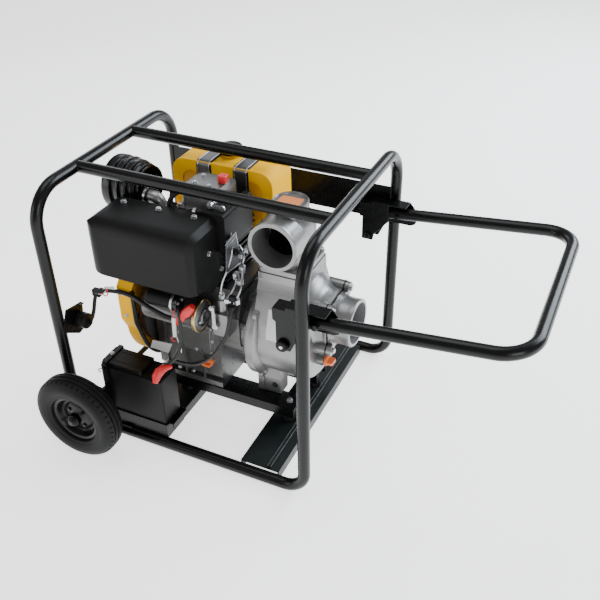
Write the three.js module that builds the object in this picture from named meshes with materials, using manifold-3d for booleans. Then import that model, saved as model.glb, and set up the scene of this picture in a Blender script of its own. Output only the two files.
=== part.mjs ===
// Portable fire pump: an air-cooled diesel engine and a self-priming pump in a wheeled tube frame
// with a folding handle. Millimetres, +Z up, +X towards the suction port, -Y the discharge side.
// The working frame has its zero at the centre of the front left corner tube, on the bottom rails'
// centre line, and the last lines shift the whole group to the middle of the box it stands in.
import * as THREE from "three";
import { mergeVertices } from "three/addons/utils/BufferGeometryUtils.js";
import Module from "manifold-3d";

// ---------------------------------------------------------------- driving dimensions
const GAP = 0.3; // clearance between pieces that touch
const TUBE_R = 16; // frame tube, 32 mm outside
const TUBE_BORE = 13.5;
const FRAME_L = 715; // tube centres, along X
const FRAME_W = 620; // along Y
const FRAME_H = 700; // along Z
const TOP_BEND = 92;
const BOTTOM_BEND = 58;
const RAIL_FRONT_Y = 179; // top rails
const RAIL_BACK_Y = 424;

const WHEEL_R = 125; // 10 inch wheels
const WHEEL_W = 70;
const WHEEL_X = 97;
const WHEEL_Z = WHEEL_R - TUBE_R; // treads level with the underside of the frame
const WHEEL_OUT = 130; // outer face, beyond the side tube's centre
const TYRE_BORE = 70;
const AXLE_R = 8;
const WHEEL_SIDES = 24;

const HANDLE_R = 15;
const HANDLE_BORE = 12.5;
const HANDLE_Y = 36; // arm centres, in from the side tubes
const HANDLE_END_X = 1207;
const HANDLE_TILT = THREE.MathUtils.degToRad(5.7);
const PIVOT_X = 738;
const PIVOT_Z = 518;
const PIVOT_PIN_R = 6;

const BEAM_TOP = 75;
const BEAM_H = 30;
const BEAM_W = 65;
const BEAM_FRONT_Y = 185;
const CROSS_TOP = 14;
const AXIS_Y = 297; // crankshaft and pump shaft
const AXIS_Z = 270;
const CRANK_R = 20;
const SHAFT_BORE = CRANK_R + 1; // through the castings the shaft runs in
const PUMP_SHAFT_R = 15;

const CASE_X0 = 172; // crankcase
const CASE_X1 = 440;
const CASE_HALF = 105;
const CASE_TOP = 400;
const HEAD_X = 318; // middle of the cylinder
const HEAD_BASE = 520;
const HEAD_TOP = 600;

const VOLUTE_X0 = 489; // pump casing
const VOLUTE_X1 = 642;
const VOLUTE_R = 125;
const VOLUTE_WALL = 12;
const RING_R = 146;
const PORT_R = 64; // 4 inch threaded sockets
const PORT_BORE = 56;
const SUCTION_Z = 339;
const SUCTION_END = 736;
const TOP_SEAM_Z = 480; // discharge flange joint
const DISCHARGE_X = 546;
const DISCHARGE_Y = 194;
const DISCHARGE_Z = 577;
const ELBOW_Y = 292;

const TANK = { x0: 137, x1: 444, y0: 405, y1: 520, z0: 478, z1: 657 };
const TRAY_TOP = 62;
const BATTERY = { x0: 107, x1: 300, y0: 7, y1: 82, z0: 21, z1: 222 };
const SHIELD = { x0: 78, x1: 388, y0: 75, y1: 212, z0: 458, z1: 618 };

// ---------------------------------------------------------------- colours
const BLACK_PAINT = { color: 0x17181a, metalness: 0.3, roughness: 0.45 };
const YELLOW_PAINT = { color: 0xf2b211, metalness: 0.1, roughness: 0.35 };
const CAST = { color: 0xb9babc, metalness: 0.7, roughness: 0.5 };
const DARK_CAST = { color: 0x75767a, metalness: 0.6, roughness: 0.55 };
const STEEL = { color: 0xc4c6ca, metalness: 0.9, roughness: 0.3 };
const RUBBER = { color: 0x141414, metalness: 0, roughness: 0.8 };
const BLACK_PLASTIC = { color: 0x1b1b1c, metalness: 0, roughness: 0.5 };
const ORANGE = { color: 0xe8622a, metalness: 0, roughness: 0.5 };

// ---------------------------------------------------------------- solids
const wasm = await Module();
wasm.setup();

// Any closed three.js geometry as a manifold-3d solid, turned to face out.
function solid(geometry) {
  const bare = geometry.index ? geometry.toNonIndexed() : geometry.clone();
  bare.deleteAttribute("normal");
  bare.deleteAttribute("uv");
  const merged = mergeVertices(bare, 1e-4);
  const triVerts = new Uint32Array(merged.index.array);
  const vertProperties = new Float32Array(merged.attributes.position.array);
  const made = new wasm.Manifold(new wasm.Mesh({ numProp: 3, vertProperties, triVerts }));
  if (made.volume() >= 0) return made;
  for (let i = 0; i < triVerts.length; i += 3) {
    [triVerts[i + 1], triVerts[i + 2]] = [triVerts[i + 2], triVerts[i + 1]];
  }
  return new wasm.Manifold(new wasm.Mesh({ numProp: 3, vertProperties, triVerts }));
}

const join = (first, ...rest) => rest.reduce((sum, s) => sum.add(s), first);
const cut = (first, ...rest) => rest.reduce((sum, s) => sum.subtract(s), first);

function box(x0, x1, y0, y1, z0, z1) {
  const geometry = new THREE.BoxGeometry(x1 - x0, y1 - y0, z1 - z0);
  return solid(geometry.translate((x0 + x1) / 2, (y0 + y1) / 2, (z0 + z1) / 2));
}

// Turns a shape made around +Y (lathe and cylinder) or +Z (extrude) on to another axis.
function onAxis(geometry, axis) {
  if (axis === "x") geometry.rotateZ(-Math.PI / 2);
  if (axis === "z") geometry.rotateX(Math.PI / 2);
  return geometry;
}

// Cylinder or cone from a to b along an axis; at gives its centre on the other two axes.
function rod(axis, at, a, b, r, sides = 18, r2 = r) {
  const geometry = new THREE.CylinderGeometry(r2, r, b - a, sides);
  onAxis(geometry, axis);
  const mid = (a + b) / 2;
  const place = { x: [mid, at[0], at[1]], y: [at[0], mid, at[1]], z: [at[0], at[1], mid] }[axis];
  return solid(geometry.translate(...place));
}

// A turned piece: pairs of (radius, distance along the axis) from a to the other end.
function turned(axis, at, profile, sides = 20) {
  const points = profile.map(([r, d]) => new THREE.Vector2(r, d));
  const geometry = new THREE.LatheGeometry(points, sides);
  onAxis(geometry, axis);
  const place = { x: [0, at[0], at[1]], y: [at[0], 0, at[1]], z: [at[0], at[1], 0] }[axis];
  return solid(geometry.translate(...place));
}

// A rounded rectangle as a shape, centred on cx, cy.
function roundedRect(cx, cy, w, h, r) {
  const s = new THREE.Shape();
  const [x0, x1, y0, y1] = [cx - w / 2, cx + w / 2, cy - h / 2, cy + h / 2];
  s.moveTo(x0 + r, y0);
  s.lineTo(x1 - r, y0).absarc(x1 - r, y0 + r, r, -Math.PI / 2, 0);
  s.lineTo(x1, y1 - r).absarc(x1 - r, y1 - r, r, 0, Math.PI / 2);
  s.lineTo(x0 + r, y1).absarc(x0 + r, y1 - r, r, Math.PI / 2, Math.PI);
  s.lineTo(x0, y0 + r).absarc(x0 + r, y0 + r, r, Math.PI, 1.5 * Math.PI);
  return s;
}

const polygon = (points) => new THREE.Shape(points.map(([a, b]) => new THREE.Vector2(a, b)));

// Extrudes a shape drawn in YZ along X, in XZ along Y, or in XY along Z.
function slab(plane, shape, a, b, bevel = 0, curveSegments = 3) {
  const geometry = new THREE.ExtrudeGeometry(shape, {
    depth: b - a - 2 * bevel,
    bevelEnabled: bevel > 0,
    bevelThickness: bevel,
    bevelSize: bevel,
    bevelOffset: -bevel,
    bevelSegments: 1,
    curveSegments,
  });
  geometry.translate(0, 0, a + bevel);
  const [alongX, alongY, alongZ] = [[1, 0, 0], [0, 1, 0], [0, 0, 1]].map((v) => new THREE.Vector3(...v));
  const turn = new THREE.Matrix4();
  if (plane === "yz") turn.makeBasis(alongY, alongZ, alongX);
  if (plane === "xz") turn.makeBasis(alongX, alongZ, alongY);
  geometry.applyMatrix4(turn);
  return solid(geometry);
}

// A path of straight runs joined by bends, with stations only where the path turns.
class BentPath extends THREE.Curve {
  constructor(corners, radius, stepsPerBend = 5) {
    super();
    const points = corners.map((c) => new THREE.Vector3(...c));
    const radii = Array.isArray(radius) ? radius : corners.map(() => radius);
    this.stations = [];
    this.tangents = [];
    const put = (p, t) => {
      this.stations.push(p.clone());
      this.tangents.push(t.clone());
    };
    put(points[0], points[1].clone().sub(points[0]).normalize());
    for (let i = 1; i < points.length - 1; i++) {
      const before = points[i].clone().sub(points[i - 1]).normalize();
      const after = points[i + 1].clone().sub(points[i]).normalize();
      const turn = before.angleTo(after);
      const r = radii[i];
      const start = points[i].clone().addScaledVector(before, -r * Math.tan(turn / 2));
      const axis = before.clone().cross(after).normalize();
      const centre = start.clone().addScaledVector(axis.clone().cross(before), r);
      for (let k = 0; k <= stepsPerBend; k++) {
        const angle = (turn * k) / stepsPerBend;
        const arm = start.clone().sub(centre).applyAxisAngle(axis, angle);
        put(centre.clone().add(arm), before.clone().applyAxisAngle(axis, angle));
      }
    }
    const last = points.length - 1;
    put(points[last], points[last].clone().sub(points[last - 1]).normalize());
    this.steps = this.stations.length - 1;
  }
  getPointAt(u) {
    return this.stations[Math.round(u * this.steps)].clone();
  }
  getPoint(u) {
    return this.getPointAt(u);
  }
  getTangentAt(u) {
    return this.tangents[Math.round(u * this.steps)].clone();
  }
}

const ring = (sides, r) =>
  Array.from({ length: sides }, (_, i) => {
    const a = (2 * Math.PI * i) / sides;
    return new THREE.Vector2(r * Math.cos(a), r * Math.sin(a));
  });

// A tube, or a solid rod when bore is 0, along a bent path.
function tube(path, r, bore = 0, sides = 12) {
  const shape = new THREE.Shape(ring(sides, r));
  if (bore > 0) shape.holes.push(new THREE.Path(ring(6, bore)));
  const geometry = new THREE.ExtrudeGeometry(shape, {
    steps: path.steps,
    extrudePath: path,
    bevelEnabled: false,
  });
  return solid(geometry);
}

// ---------------------------------------------------------------- scene graph
const pump = new THREE.Group();
pump.name = "portable_fire_pump";

function add(name, piece, look, parent = pump) {
  const mesh = piece.getMesh();
  const corners = new Float32Array(mesh.vertProperties);
  const geometry = new THREE.BufferGeometry();
  geometry.setAttribute("position", new THREE.BufferAttribute(corners, 3));
  geometry.setIndex(Array.from(mesh.triVerts));
  geometry.computeVertexNormals();
  const made = new THREE.Mesh(geometry, new THREE.MeshStandardMaterial(look));
  made.name = name;
  parent.add(made);
}

// The far side of the machine repeats a piece of the near side in mirror image.
const farSide = (y) => FRAME_W - y;

// ---------------------------------------------------------------- frame
// Each hoop is one bent tube: half a bottom rail, up, across, down, and half the other rail.
function hoop(x, towards) {
  const mid = FRAME_L / 2 - (towards * GAP) / 2;
  const corners = [
    [mid, 0, 0],
    [x, 0, 0],
    [x, 0, FRAME_H],
    [x, FRAME_W, FRAME_H],
    [x, FRAME_W, 0],
    [mid, FRAME_W, 0],
  ];
  const radii = [0, BOTTOM_BEND, TOP_BEND, TOP_BEND, BOTTOM_BEND, 0];
  return tube(new BentPath(corners, radii), TUBE_R, TUBE_BORE);
}
add("left_hoop", hoop(0, 1), BLACK_PAINT);
add("right_hoop", hoop(FRAME_L, -1), BLACK_PAINT);

// The rails' ends are coped to sit round the hoops' top tubes.
function topRail(y) {
  const rail = tube(new BentPath([[0, y, FRAME_H], [FRAME_L, y, FRAME_H]], 0), TUBE_R, TUBE_BORE, 12);
  const cope = TUBE_R + GAP;
  return cut(
    rail,
    rod("y", [0, FRAME_H], y - 40, y + 40, cope, 12),
    box(-40, 0, y - 40, y + 40, FRAME_H - 40, FRAME_H + 40),
    rod("y", [FRAME_L, FRAME_H], y - 40, y + 40, cope, 12),
    box(FRAME_L, FRAME_L + 40, y - 40, y + 40, FRAME_H - 40, FRAME_H + 40),
  );
}
add("front_top_rail", topRail(RAIL_FRONT_Y), BLACK_PAINT);
add("back_top_rail", topRail(RAIL_BACK_Y), BLACK_PAINT);

// Folded steel channel from rail to rail, with a raised rib along it; the ends are welded to
// the bottom rails' inner sides. The left one's rib stops short of the battery tray.
function crossMember(x0, x1, ribX, ribY) {
  const y0 = TUBE_R + GAP;
  const y1 = FRAME_W - TUBE_R - GAP;
  const wall = 4;
  const channel = cut(
    box(x0, x1, y0, y1, -TUBE_R + 2, CROSS_TOP),
    box(x0 + wall, x1 - wall, y0 - 1, y1 + 1, -TUBE_R, CROSS_TOP - wall),
  );
  return join(channel, box(ribX, ribX + 10, ribY, y1, CROSS_TOP - wall, CROSS_TOP + 8));
}
add("left_cross_member", crossMember(172, 282, 187, 96), BLACK_PAINT);
add("right_cross_member", crossMember(522, 634, 600, TUBE_R + GAP), BLACK_PAINT);

// Two longitudinal channels carry the engine and the pump.
function mountingBeam(y0) {
  const z0 = BEAM_TOP - BEAM_H;
  const wall = 4;
  return cut(
    box(182, 598, y0, y0 + BEAM_W, z0, BEAM_TOP),
    box(181, 599, y0 + wall, y0 + BEAM_W - wall, z0 - 1, BEAM_TOP - wall),
  );
}
const beamBackY = 2 * AXIS_Y - BEAM_FRONT_Y - BEAM_W;
add("front_beam", mountingBeam(BEAM_FRONT_Y), BLACK_PAINT);
add("back_beam", mountingBeam(beamBackY), BLACK_PAINT);

// Rubber mounts stand on the cross members and reach up into the beams.
function rubberMount(x, y) {
  const foot = rod("z", [x, y], CROSS_TOP + GAP, BEAM_TOP - BEAM_H + 4, 21, 12, 17);
  return join(foot, rod("z", [x, y], CROSS_TOP + 10, BEAM_TOP - 4 - GAP, 15, 12));
}
const MOUNT_PLACES = {
  mount_front_left: [240, BEAM_FRONT_Y + BEAM_W / 2],
  mount_back_left: [240, beamBackY + BEAM_W / 2],
  mount_front_right: [572, BEAM_FRONT_Y + BEAM_W / 2],
  mount_back_right: [572, beamBackY + BEAM_W / 2],
};
for (const [name, [x, y]] of Object.entries(MOUNT_PLACES)) add(name, rubberMount(x, y), RUBBER);

// Flat plate between the back uprights, in line with their front half.
add("back_panel", box(10.2, FRAME_L - 10.2, 604.2, 607.2, 482, 583), BLACK_PAINT);

// ---------------------------------------------------------------- wheels
// A through axle with spacers, held by a gusset plate in each lower left corner of the frame.
function axle() {
  const at = [WHEEL_X, WHEEL_Z];
  const outline = polygon([
    [12, 22], [24, 13], [120, 16.5], [128, 104], [112, 128], [84, 130], [17, 76],
  ]);
  const plates = [0, FRAME_W].map((y) => slab("xz", outline, y - 3, y + 3));
  const corners = [0, FRAME_W].map((y) =>
    tube(new BentPath([[260, y, 0], [0, y, 0], [0, y, 300]], BOTTOM_BEND), TUBE_R + GAP, 0, 12),
  );
  const held = cut(join(...plates), ...corners);
  const end = WHEEL_OUT + 4;
  const inner = WHEEL_OUT - WHEEL_W - 1;
  return join(
    held,
    rod("y", at, -end, FRAME_W + end, AXLE_R, 16),
    rod("y", at, -inner, -3, 13, 16),
    rod("y", at, FRAME_W + 3, FRAME_W + inner, 13, 16),
  );
}
add("axle", axle(), BLACK_PAINT);

// Tyre section, from the inner bead round the tread to the other bead.
function tyre() {
  const h = WHEEL_W / 2;
  const profile = [
    [TYRE_BORE, -h + 14], [TYRE_BORE + 8, -h + 5], [WHEEL_R - 24, -h], [WHEEL_R - 7, -h + 10],
    [WHEEL_R, -h + 25], [WHEEL_R, h - 25], [WHEEL_R - 7, h - 10], [WHEEL_R - 24, h],
    [TYRE_BORE + 8, h - 5], [TYRE_BORE, h - 14], [TYRE_BORE, -h + 14],
  ];
  return turned("y", [0, 0], profile, WHEEL_SIDES);
}

// Pressed steel rim with a dished disc and a hub tube.
function rim() {
  const h = WHEEL_W / 2;
  const seat = TYRE_BORE - GAP;
  const bore = AXLE_R + GAP;
  const profile = [
    [bore, -h + 2], [20, -h + 2], [20, -8], [52, -4], [60, -h + 16], [seat, -h + 15], [seat, h - 15],
    [seat - 4, h - 15], [seat - 6, 8], [54, 4], [20, 4], [20, h - 2], [bore, h - 2], [bore, -h + 2],
  ];
  return turned("y", [0, 0], profile, WHEEL_SIDES);
}

function wheel(side, y) {
  const group = new THREE.Group();
  group.position.set(WHEEL_X, y, WHEEL_Z);
  if (y > FRAME_W / 2) group.rotation.z = Math.PI;
  add(side + "_tyre", tyre(), RUBBER, group);
  add(side + "_rim", rim(), BLACK_PAINT, group);
  pump.add(group);
}
wheel("front", -(WHEEL_OUT - WHEEL_W / 2));
wheel("back", FRAME_W + WHEEL_OUT - WHEEL_W / 2);

// ---------------------------------------------------------------- folding handle
// One U-shaped tube; its two ends swing on pins in brackets behind the right-hand uprights.
function handle() {
  const reach = (HANDLE_END_X - PIVOT_X) / Math.cos(HANDLE_TILT);
  const far = farSide(HANDLE_Y);
  const corners = [[-22, HANDLE_Y, 0], [reach, HANDLE_Y, 0], [reach, far, 0], [-22, far, 0]];
  const bent = tube(new BentPath(corners, 78), HANDLE_R, HANDLE_BORE, 12);
  return cut(bent, rod("y", [0, 0], -10, FRAME_W + 10, PIVOT_PIN_R + GAP, 12));
}
const handleGroup = new THREE.Group();
handleGroup.position.set(PIVOT_X, 0, PIVOT_Z);
handleGroup.rotation.y = -HANDLE_TILT;
add("handle", handle(), BLACK_PAINT, handleGroup);
pump.add(handleGroup);

// Bracket of two cheek plates and a top plate, with the pivot pin and its bolt head.
const KNOB_X = 658;
const KNOB_Z = 444;
const KNOB_BOLT_R = 5;
function handleBracket() {
  const cheek = polygon([
    [640, 428], [676, 428], [692, 462], [706, 478], [768, 478], [781, 484], [786, 496],
    [786, 522], [764, 549], [668, 549], [664, 541], [632, 541], [632, 510], [640, 504],
  ]);
  const outer = TUBE_R + GAP;
  const inner = HANDLE_Y + HANDLE_R + 2;
  const shell = join(
    slab("xz", cheek, outer, outer + 3),
    slab("xz", cheek, inner, inner + 3),
    box(664, 764, outer, inner + 3, 546, 549),
    box(632, 664, outer, inner + 3, 538, 541),
  );
  const pin = [PIVOT_X, PIVOT_Z];
  const shank = rod("y", pin, outer - 5, inner + 8, PIVOT_PIN_R, 12);
  const head = rod("y", pin, outer - 6, outer + 1, 8, 6);
  return cut(
    join(shell, shank, head),
    rod("y", [KNOB_X, KNOB_Z], 0, 80, KNOB_BOLT_R + GAP, 12),
  );
}

// Clamp knob: a round head on a bolt through both cheeks, with its nut on the far side.
function lockKnob() {
  const outer = TUBE_R + GAP;
  const inner = HANDLE_Y + HANDLE_R + 2;
  const profile = [
    [0, outer - 13], [9, outer - 13], [13, outer - 12], [15, outer - 9], [15, outer - 4], [11, outer - GAP],
    [KNOB_BOLT_R, outer - GAP], [KNOB_BOLT_R, inner + 3 + GAP], [9, inner + 3 + GAP],
    [9, inner + 10], [0, inner + 10],
  ];
  return turned("y", [KNOB_X, KNOB_Z], profile, 12);
}
const toFarSide = (piece) => piece.mirror([0, 1, 0]).translate([0, FRAME_W, 0]);
add("front_handle_bracket", handleBracket(), BLACK_PAINT);
add("back_handle_bracket", toFarSide(handleBracket()), BLACK_PAINT);
add("front_lock_knob", lockKnob(), RUBBER);
add("back_lock_knob", toFarSide(lockKnob()), RUBBER);

// ---------------------------------------------------------------- battery and key switch
function batteryTray() {
  const { x0, x1, y0, y1, z0 } = BATTERY;
  const wall = 3;
  const floor = z0 - 1 - wall;
  const open = cut(
    box(x0 - 1 - wall, x1 + 1 + wall, y0 - 1 - wall, y1 + 1 + wall, floor, TRAY_TOP),
    box(x0 - 1, x1 + 1, y0 - 1, y1 + 1, floor + wall, TRAY_TOP + 1),
  );
  const lip = box(x1 + 1, x1 + 16, y0 + 12, y1 + 4, 56, 59);
  const lipEnd = box(x1 + 13, x1 + 16, y0 + 12, y1 + 4, 44, 59);
  const ear = box(160, 190, -6, y0, floor, floor + wall);
  return join(open, lip, lipEnd, ear);
}
add("battery_tray", batteryTray(), BLACK_PAINT);

function battery() {
  const { x0, x1, y0, y1, z0, z1 } = BATTERY;
  const midY = (y0 + y1) / 2;
  const body = slab("xy", roundedRect((x0 + x1) / 2, midY, x1 - x0, y1 - y0, 5), z0, z1 - 14, 2, 2);
  const lid = slab("xy", roundedRect(x0 + 68, midY, 126, y1 - y0 - 6, 5), z1 - 16, z1, 2, 2);
  const post = (x, y) => rod("z", [x, y], z1 - 16, z1 + 4, 9, 14, 8);
  return join(body, lid, post(x1 - 24, y0 + 20), post(x1 - 24, y1 - 16));
}
add("battery", battery(), BLACK_PLASTIC);

function holdDown() {
  const { y0, y1, z1 } = BATTERY;
  const [x0, x1, t] = [118, 132, 3];
  return join(
    box(x0, x1, y0 - t - GAP, y1 + t + GAP, z1 + GAP, z1 + GAP + t),
    box(x0, x1, y0 - t - GAP, y0 - GAP, TRAY_TOP + GAP, z1 + GAP + t),
    box(x0, x1, y1 + GAP, y1 + GAP + t, TRAY_TOP + GAP, z1 + GAP + t),
  );
}
add("battery_hold_down", holdDown(), BLACK_PAINT);

const KEY_Y = 55;
const KEY_Z = 305;
const KEY_R = 22;
const KEY_FACE = 54;
const BARREL_R = 9;
const BARREL_DEPTH = 14;
function keyBracket() {
  const plate = polygon([[-9, 299], [16, 357], [74, 346], [80, 332], [72, 264], [49, 259]]);
  const x0 = TUBE_R + GAP;
  const lip = box(x0, x0 + 13, 62, 76, 344, 347);
  return join(slab("yz", plate, x0, x0 + 3), lip);
}
add("key_switch_bracket", keyBracket(), BLACK_PAINT);

function keySwitch() {
  const x0 = TUBE_R + 3 + 2 * GAP;
  const profile = [
    [0, x0], [KEY_R - 3, x0], [KEY_R, x0 + 3], [KEY_R, KEY_FACE - 4], [KEY_R - 4, KEY_FACE], [0, KEY_FACE],
  ];
  return cut(
    turned("x", [KEY_Y, KEY_Z], profile, 18),
    rod("x", [KEY_Y, KEY_Z], KEY_FACE - BARREL_DEPTH, KEY_FACE + 1, BARREL_R + 1, 12),
  );
}
add("key_switch", keySwitch(), BLACK_PLASTIC);

// The lock barrel turns with the key; its finger grip stands across the face.
function ignitionBarrel() {
  const at = [KEY_Y, KEY_Z];
  const barrel = rod("x", at, KEY_FACE - BARREL_DEPTH + GAP, KEY_FACE + 2, BARREL_R, 12);
  const grip = box(KEY_FACE + 1, KEY_FACE + 9, KEY_Y - 2, KEY_Y + 2, KEY_Z - 8, KEY_Z + 8);
  return join(barrel, grip);
}
add("ignition_barrel", ignitionBarrel(), STEEL);

// ---------------------------------------------------------------- engine
const axisAt = [AXIS_Y, AXIS_Z];
const DIPSTICK_X = 339;
const DIPSTICK_Z = 161;
const DRUM_X = 376; // to the right of this the case ends in a drum, with no sump under it

// The crankcase is one casting: a barrel round the crank, a neck up to the cylinder,
// a sump, and feet that stand on the beams.
function crankcase() {
  const y0 = AXIS_Y - CASE_HALF;
  const y1 = AXIS_Y + CASE_HALF;
  const outline = polygon([
    [y0 + 12, 92], [y1 - 12, 92], [y1, 112], [y1, 330], [y1 - 18, 372], [y1 - 28, CASE_TOP],
    [y0 + 28, CASE_TOP], [y0 + 18, 372], [y0, 330], [y0, 112],
  ]);
  const feet = box(188, 424, y0 - 4, y1 + 4, BEAM_TOP + GAP, 94);
  const ribs = [0, 1, 2, 3].map((i) => box(196 + 60 * i, 202 + 60 * i, y0 - 5, y0 + 2, 96, 300));
  const body = join(slab("yz", outline, CASE_X0, CASE_X1), feet, ...ribs);
  const belowDrum = cut(
    box(DRUM_X, CASE_X1 + 1, y0 - 10, y1 + 10, BEAM_TOP, AXIS_Z),
    rod("x", axisAt, DRUM_X - 1, CASE_X1 + 2, CASE_HALF + 1, 28),
  );
  return cut(
    body,
    belowDrum,
    rod("x", axisAt, CASE_X0 - 1, CASE_X1 + 1, SHAFT_BORE, 18),
    rod("y", [DIPSTICK_X, DIPSTICK_Z], 100, y0 + 62, 7, 16),
  );
}
add("crankcase", crankcase(), DARK_CAST);

// Cap and stick of the oil filler, pulled out forwards.
function dipstick() {
  const y0 = AXIS_Y - CASE_HALF;
  const at = [DIPSTICK_X, DIPSTICK_Z];
  return join(
    rod("y", at, y0 - 10, y0 + 56, 6, 14),
    rod("y", at, y0 - 13, y0 - GAP, 13, 18),
    box(DIPSTICK_X - 12, DIPSTICK_X + 12, y0 - 25, y0 - 12, DIPSTICK_Z - 3, DIPSTICK_Z + 3),
  );
}
add("oil_dipstick", dipstick(), ORANGE);

const COVER_X1 = 466;
function gearCaseCover() {
  const bosses = [0, 1, 2, 3, 4, 5, 6, 7].map((i) => {
    const a = (i + 0.5) * (Math.PI / 4);
    const at = [AXIS_Y + 98 * Math.cos(a), AXIS_Z + 98 * Math.sin(a)];
    return rod("x", at, CASE_X1 + GAP, COVER_X1 - 4, 12, 8);
  });
  const dome = [
    [0, CASE_X1 + GAP], [101, CASE_X1 + GAP], [101, COVER_X1 - 12], [92, COVER_X1 - 4],
    [60, COVER_X1], [0, COVER_X1],
  ];
  return cut(
    join(turned("x", axisAt, dome, 24), ...bosses),
    rod("x", axisAt, CASE_X1, COVER_X1 + 1, SHAFT_BORE, 18),
  );
}
add("gear_case_cover", gearCaseCover(), DARK_CAST);

// Cylinder and head are stacks of cooling fins round a core.
function finned(x0, x1, y0, y1, z0, z1, reach, pitch, thick) {
  let piece = box(x0, x1, y0, y1, z0, z1);
  for (let z = z0 + 6; z + thick < z1; z += pitch) {
    piece = piece.add(box(x0 - reach, x1 + reach, y0 - reach, y1 + reach, z, z + thick));
  }
  return piece;
}
add("cylinder", finned(HEAD_X - 62, HEAD_X + 62, 238, 356, CASE_TOP + GAP, HEAD_BASE, 16, 16, 5), DARK_CAST);

const EXHAUST = [HEAD_X - 10, 552];
function cylinderHead() {
  const core = finned(HEAD_X - 72, HEAD_X + 72, 232, 364, HEAD_BASE + GAP, HEAD_TOP, 12, 18, 6);
  const exhaust = rod("y", EXHAUST, SHIELD.y1 - 3, 234, 24, 20);
  const intake = rod("x", [262, 572], HEAD_X - 96, HEAD_X - 70, 20, 20);
  return join(core, exhaust, intake);
}
add("cylinder_head", cylinderHead(), DARK_CAST);

const ROCKER_TOP = 665;
const LEVER_AT = [HEAD_X + 42, 638];
function rockerCover() {
  const base = slab("xy", roundedRect(HEAD_X, 296, 136, 124, 14), HEAD_TOP + GAP, HEAD_TOP + 9, 0, 4);
  const dome = slab("xy", roundedRect(HEAD_X, 296, 122, 110, 18), HEAD_TOP + 6, ROCKER_TOP, 8, 4);
  const boss = rod("y", LEVER_AT, 234, 250, 11, 18);
  const oiler = rod("z", [HEAD_X + 38, 306], ROCKER_TOP - 6, ROCKER_TOP + 8, 10, 16);
  return join(base, dome, boss, oiler);
}
add("rocker_cover", rockerCover(), CAST);

// Turned up before hand cranking, to hold the exhaust valve open.
function decompressionLever() {
  const [x, z] = LEVER_AT;
  const hub = rod("y", LEVER_AT, 222, 234 - GAP, 9, 16);
  return join(hub, box(x - 4, x + 38, 223, 227, z - 5, z + 5), rod("y", [x + 38, z], 223, 227, 7, 14));
}
add("decompression_lever", decompressionLever(), STEEL);

// Blower cowl: a dished cover over the flywheel fan, open towards the crankcase, that widens
// upwards to lead the air to the cylinder.
function cowlOutline(inset) {
  const r = 165 - inset;
  const wide = 182 - inset;
  const s = new THREE.Shape();
  const shoulder = 292;
  const throat = 75 - inset;
  const drop = Math.asin((AXIS_Z - 258) / r);
  s.absarc(AXIS_Y, AXIS_Z, r, Math.PI + drop, 2 * Math.PI - drop, false);
  s.lineTo(AXIS_Y + wide, shoulder + inset * 0.5);
  s.lineTo(AXIS_Y + wide, 396);
  s.lineTo(AXIS_Y + wide - 48, 444 - inset);
  s.lineTo(AXIS_Y + throat, 452 - inset);
  s.lineTo(AXIS_Y + throat, 516 - inset);
  s.lineTo(AXIS_Y - throat, 516 - inset);
  s.lineTo(AXIS_Y - throat, 452 - inset);
  s.lineTo(AXIS_Y - wide + 48, 444 - inset);
  s.lineTo(AXIS_Y - wide, 396);
  s.lineTo(AXIS_Y - wide, shoulder + inset * 0.5);
  return s;
}
function fanCowl() {
  const [x0, x1, wall] = [109, 162, 4];
  const louvres = [0, 1, 2, 3, 4, 5].map((i) => {
    const a = (i * Math.PI) / 3;
    const at = [AXIS_Y + 66 * Math.cos(a), AXIS_Z + 66 * Math.sin(a)];
    return rod("x", at, x0 - 1, x0 + wall + 14, 17, 8);
  });
  return cut(
    slab("yz", cowlOutline(0), x0, x1 + 8, 8, 9),
    slab("yz", cowlOutline(wall), x0 + wall, x1 + 20, 6, 9),
    box(x1, x1 + 30, 0, FRAME_W, 0, FRAME_H),
    ...louvres,
    rod("x", axisAt, x0 - 1, x0 + wall + 14, 30, 12),
  );
}
add("fan_cowl", fanCowl(), YELLOW_PAINT);

// Starter motor with its solenoid above and a nose that meshes with the flywheel.
const STARTER = [146, 352];
const SOLENOID = [111, 403];
function starter() {
  const profile = [
    [0, 190], [34, 190], [40, 200], [40, 358], [37, 364], [30, 368], [14, 370], [0, 370],
  ];
  const web = box(232, 290, 118, 140, 366, 400);
  const lug = box(190, 230, 150, AXIS_Y - CASE_HALF - GAP, 330, 372);
  return join(turned("x", STARTER, profile, 20), rod("x", SOLENOID, 222, 306, 22, 16), web, lug);
}
add("starter_motor", starter(), DARK_CAST);

function injectionPump() {
  const wall = AXIS_Y - CASE_HALF - GAP;
  return join(
    box(384, 430, 152, wall, 296, 366),
    rod("z", [407, 172], 360, 404, 13, 16),
    rod("z", [407, 172], 400, 416, 8, 6),
    rod("y", [396, 330], 146, 156, 9, 14),
  );
}
add("injection_pump", injectionPump(), CAST);

// Speed lever, turned about a stub on the injection pump's front.
function speedLever() {
  const hub = rod("y", [396, 330], 140, 146 - GAP, 9, 14);
  return join(hub, box(391, 401, 140, 143, 330, 392), rod("y", [396, 394], 130, 143, 8, 14));
}
add("speed_lever", speedLever(), STEEL);

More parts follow.
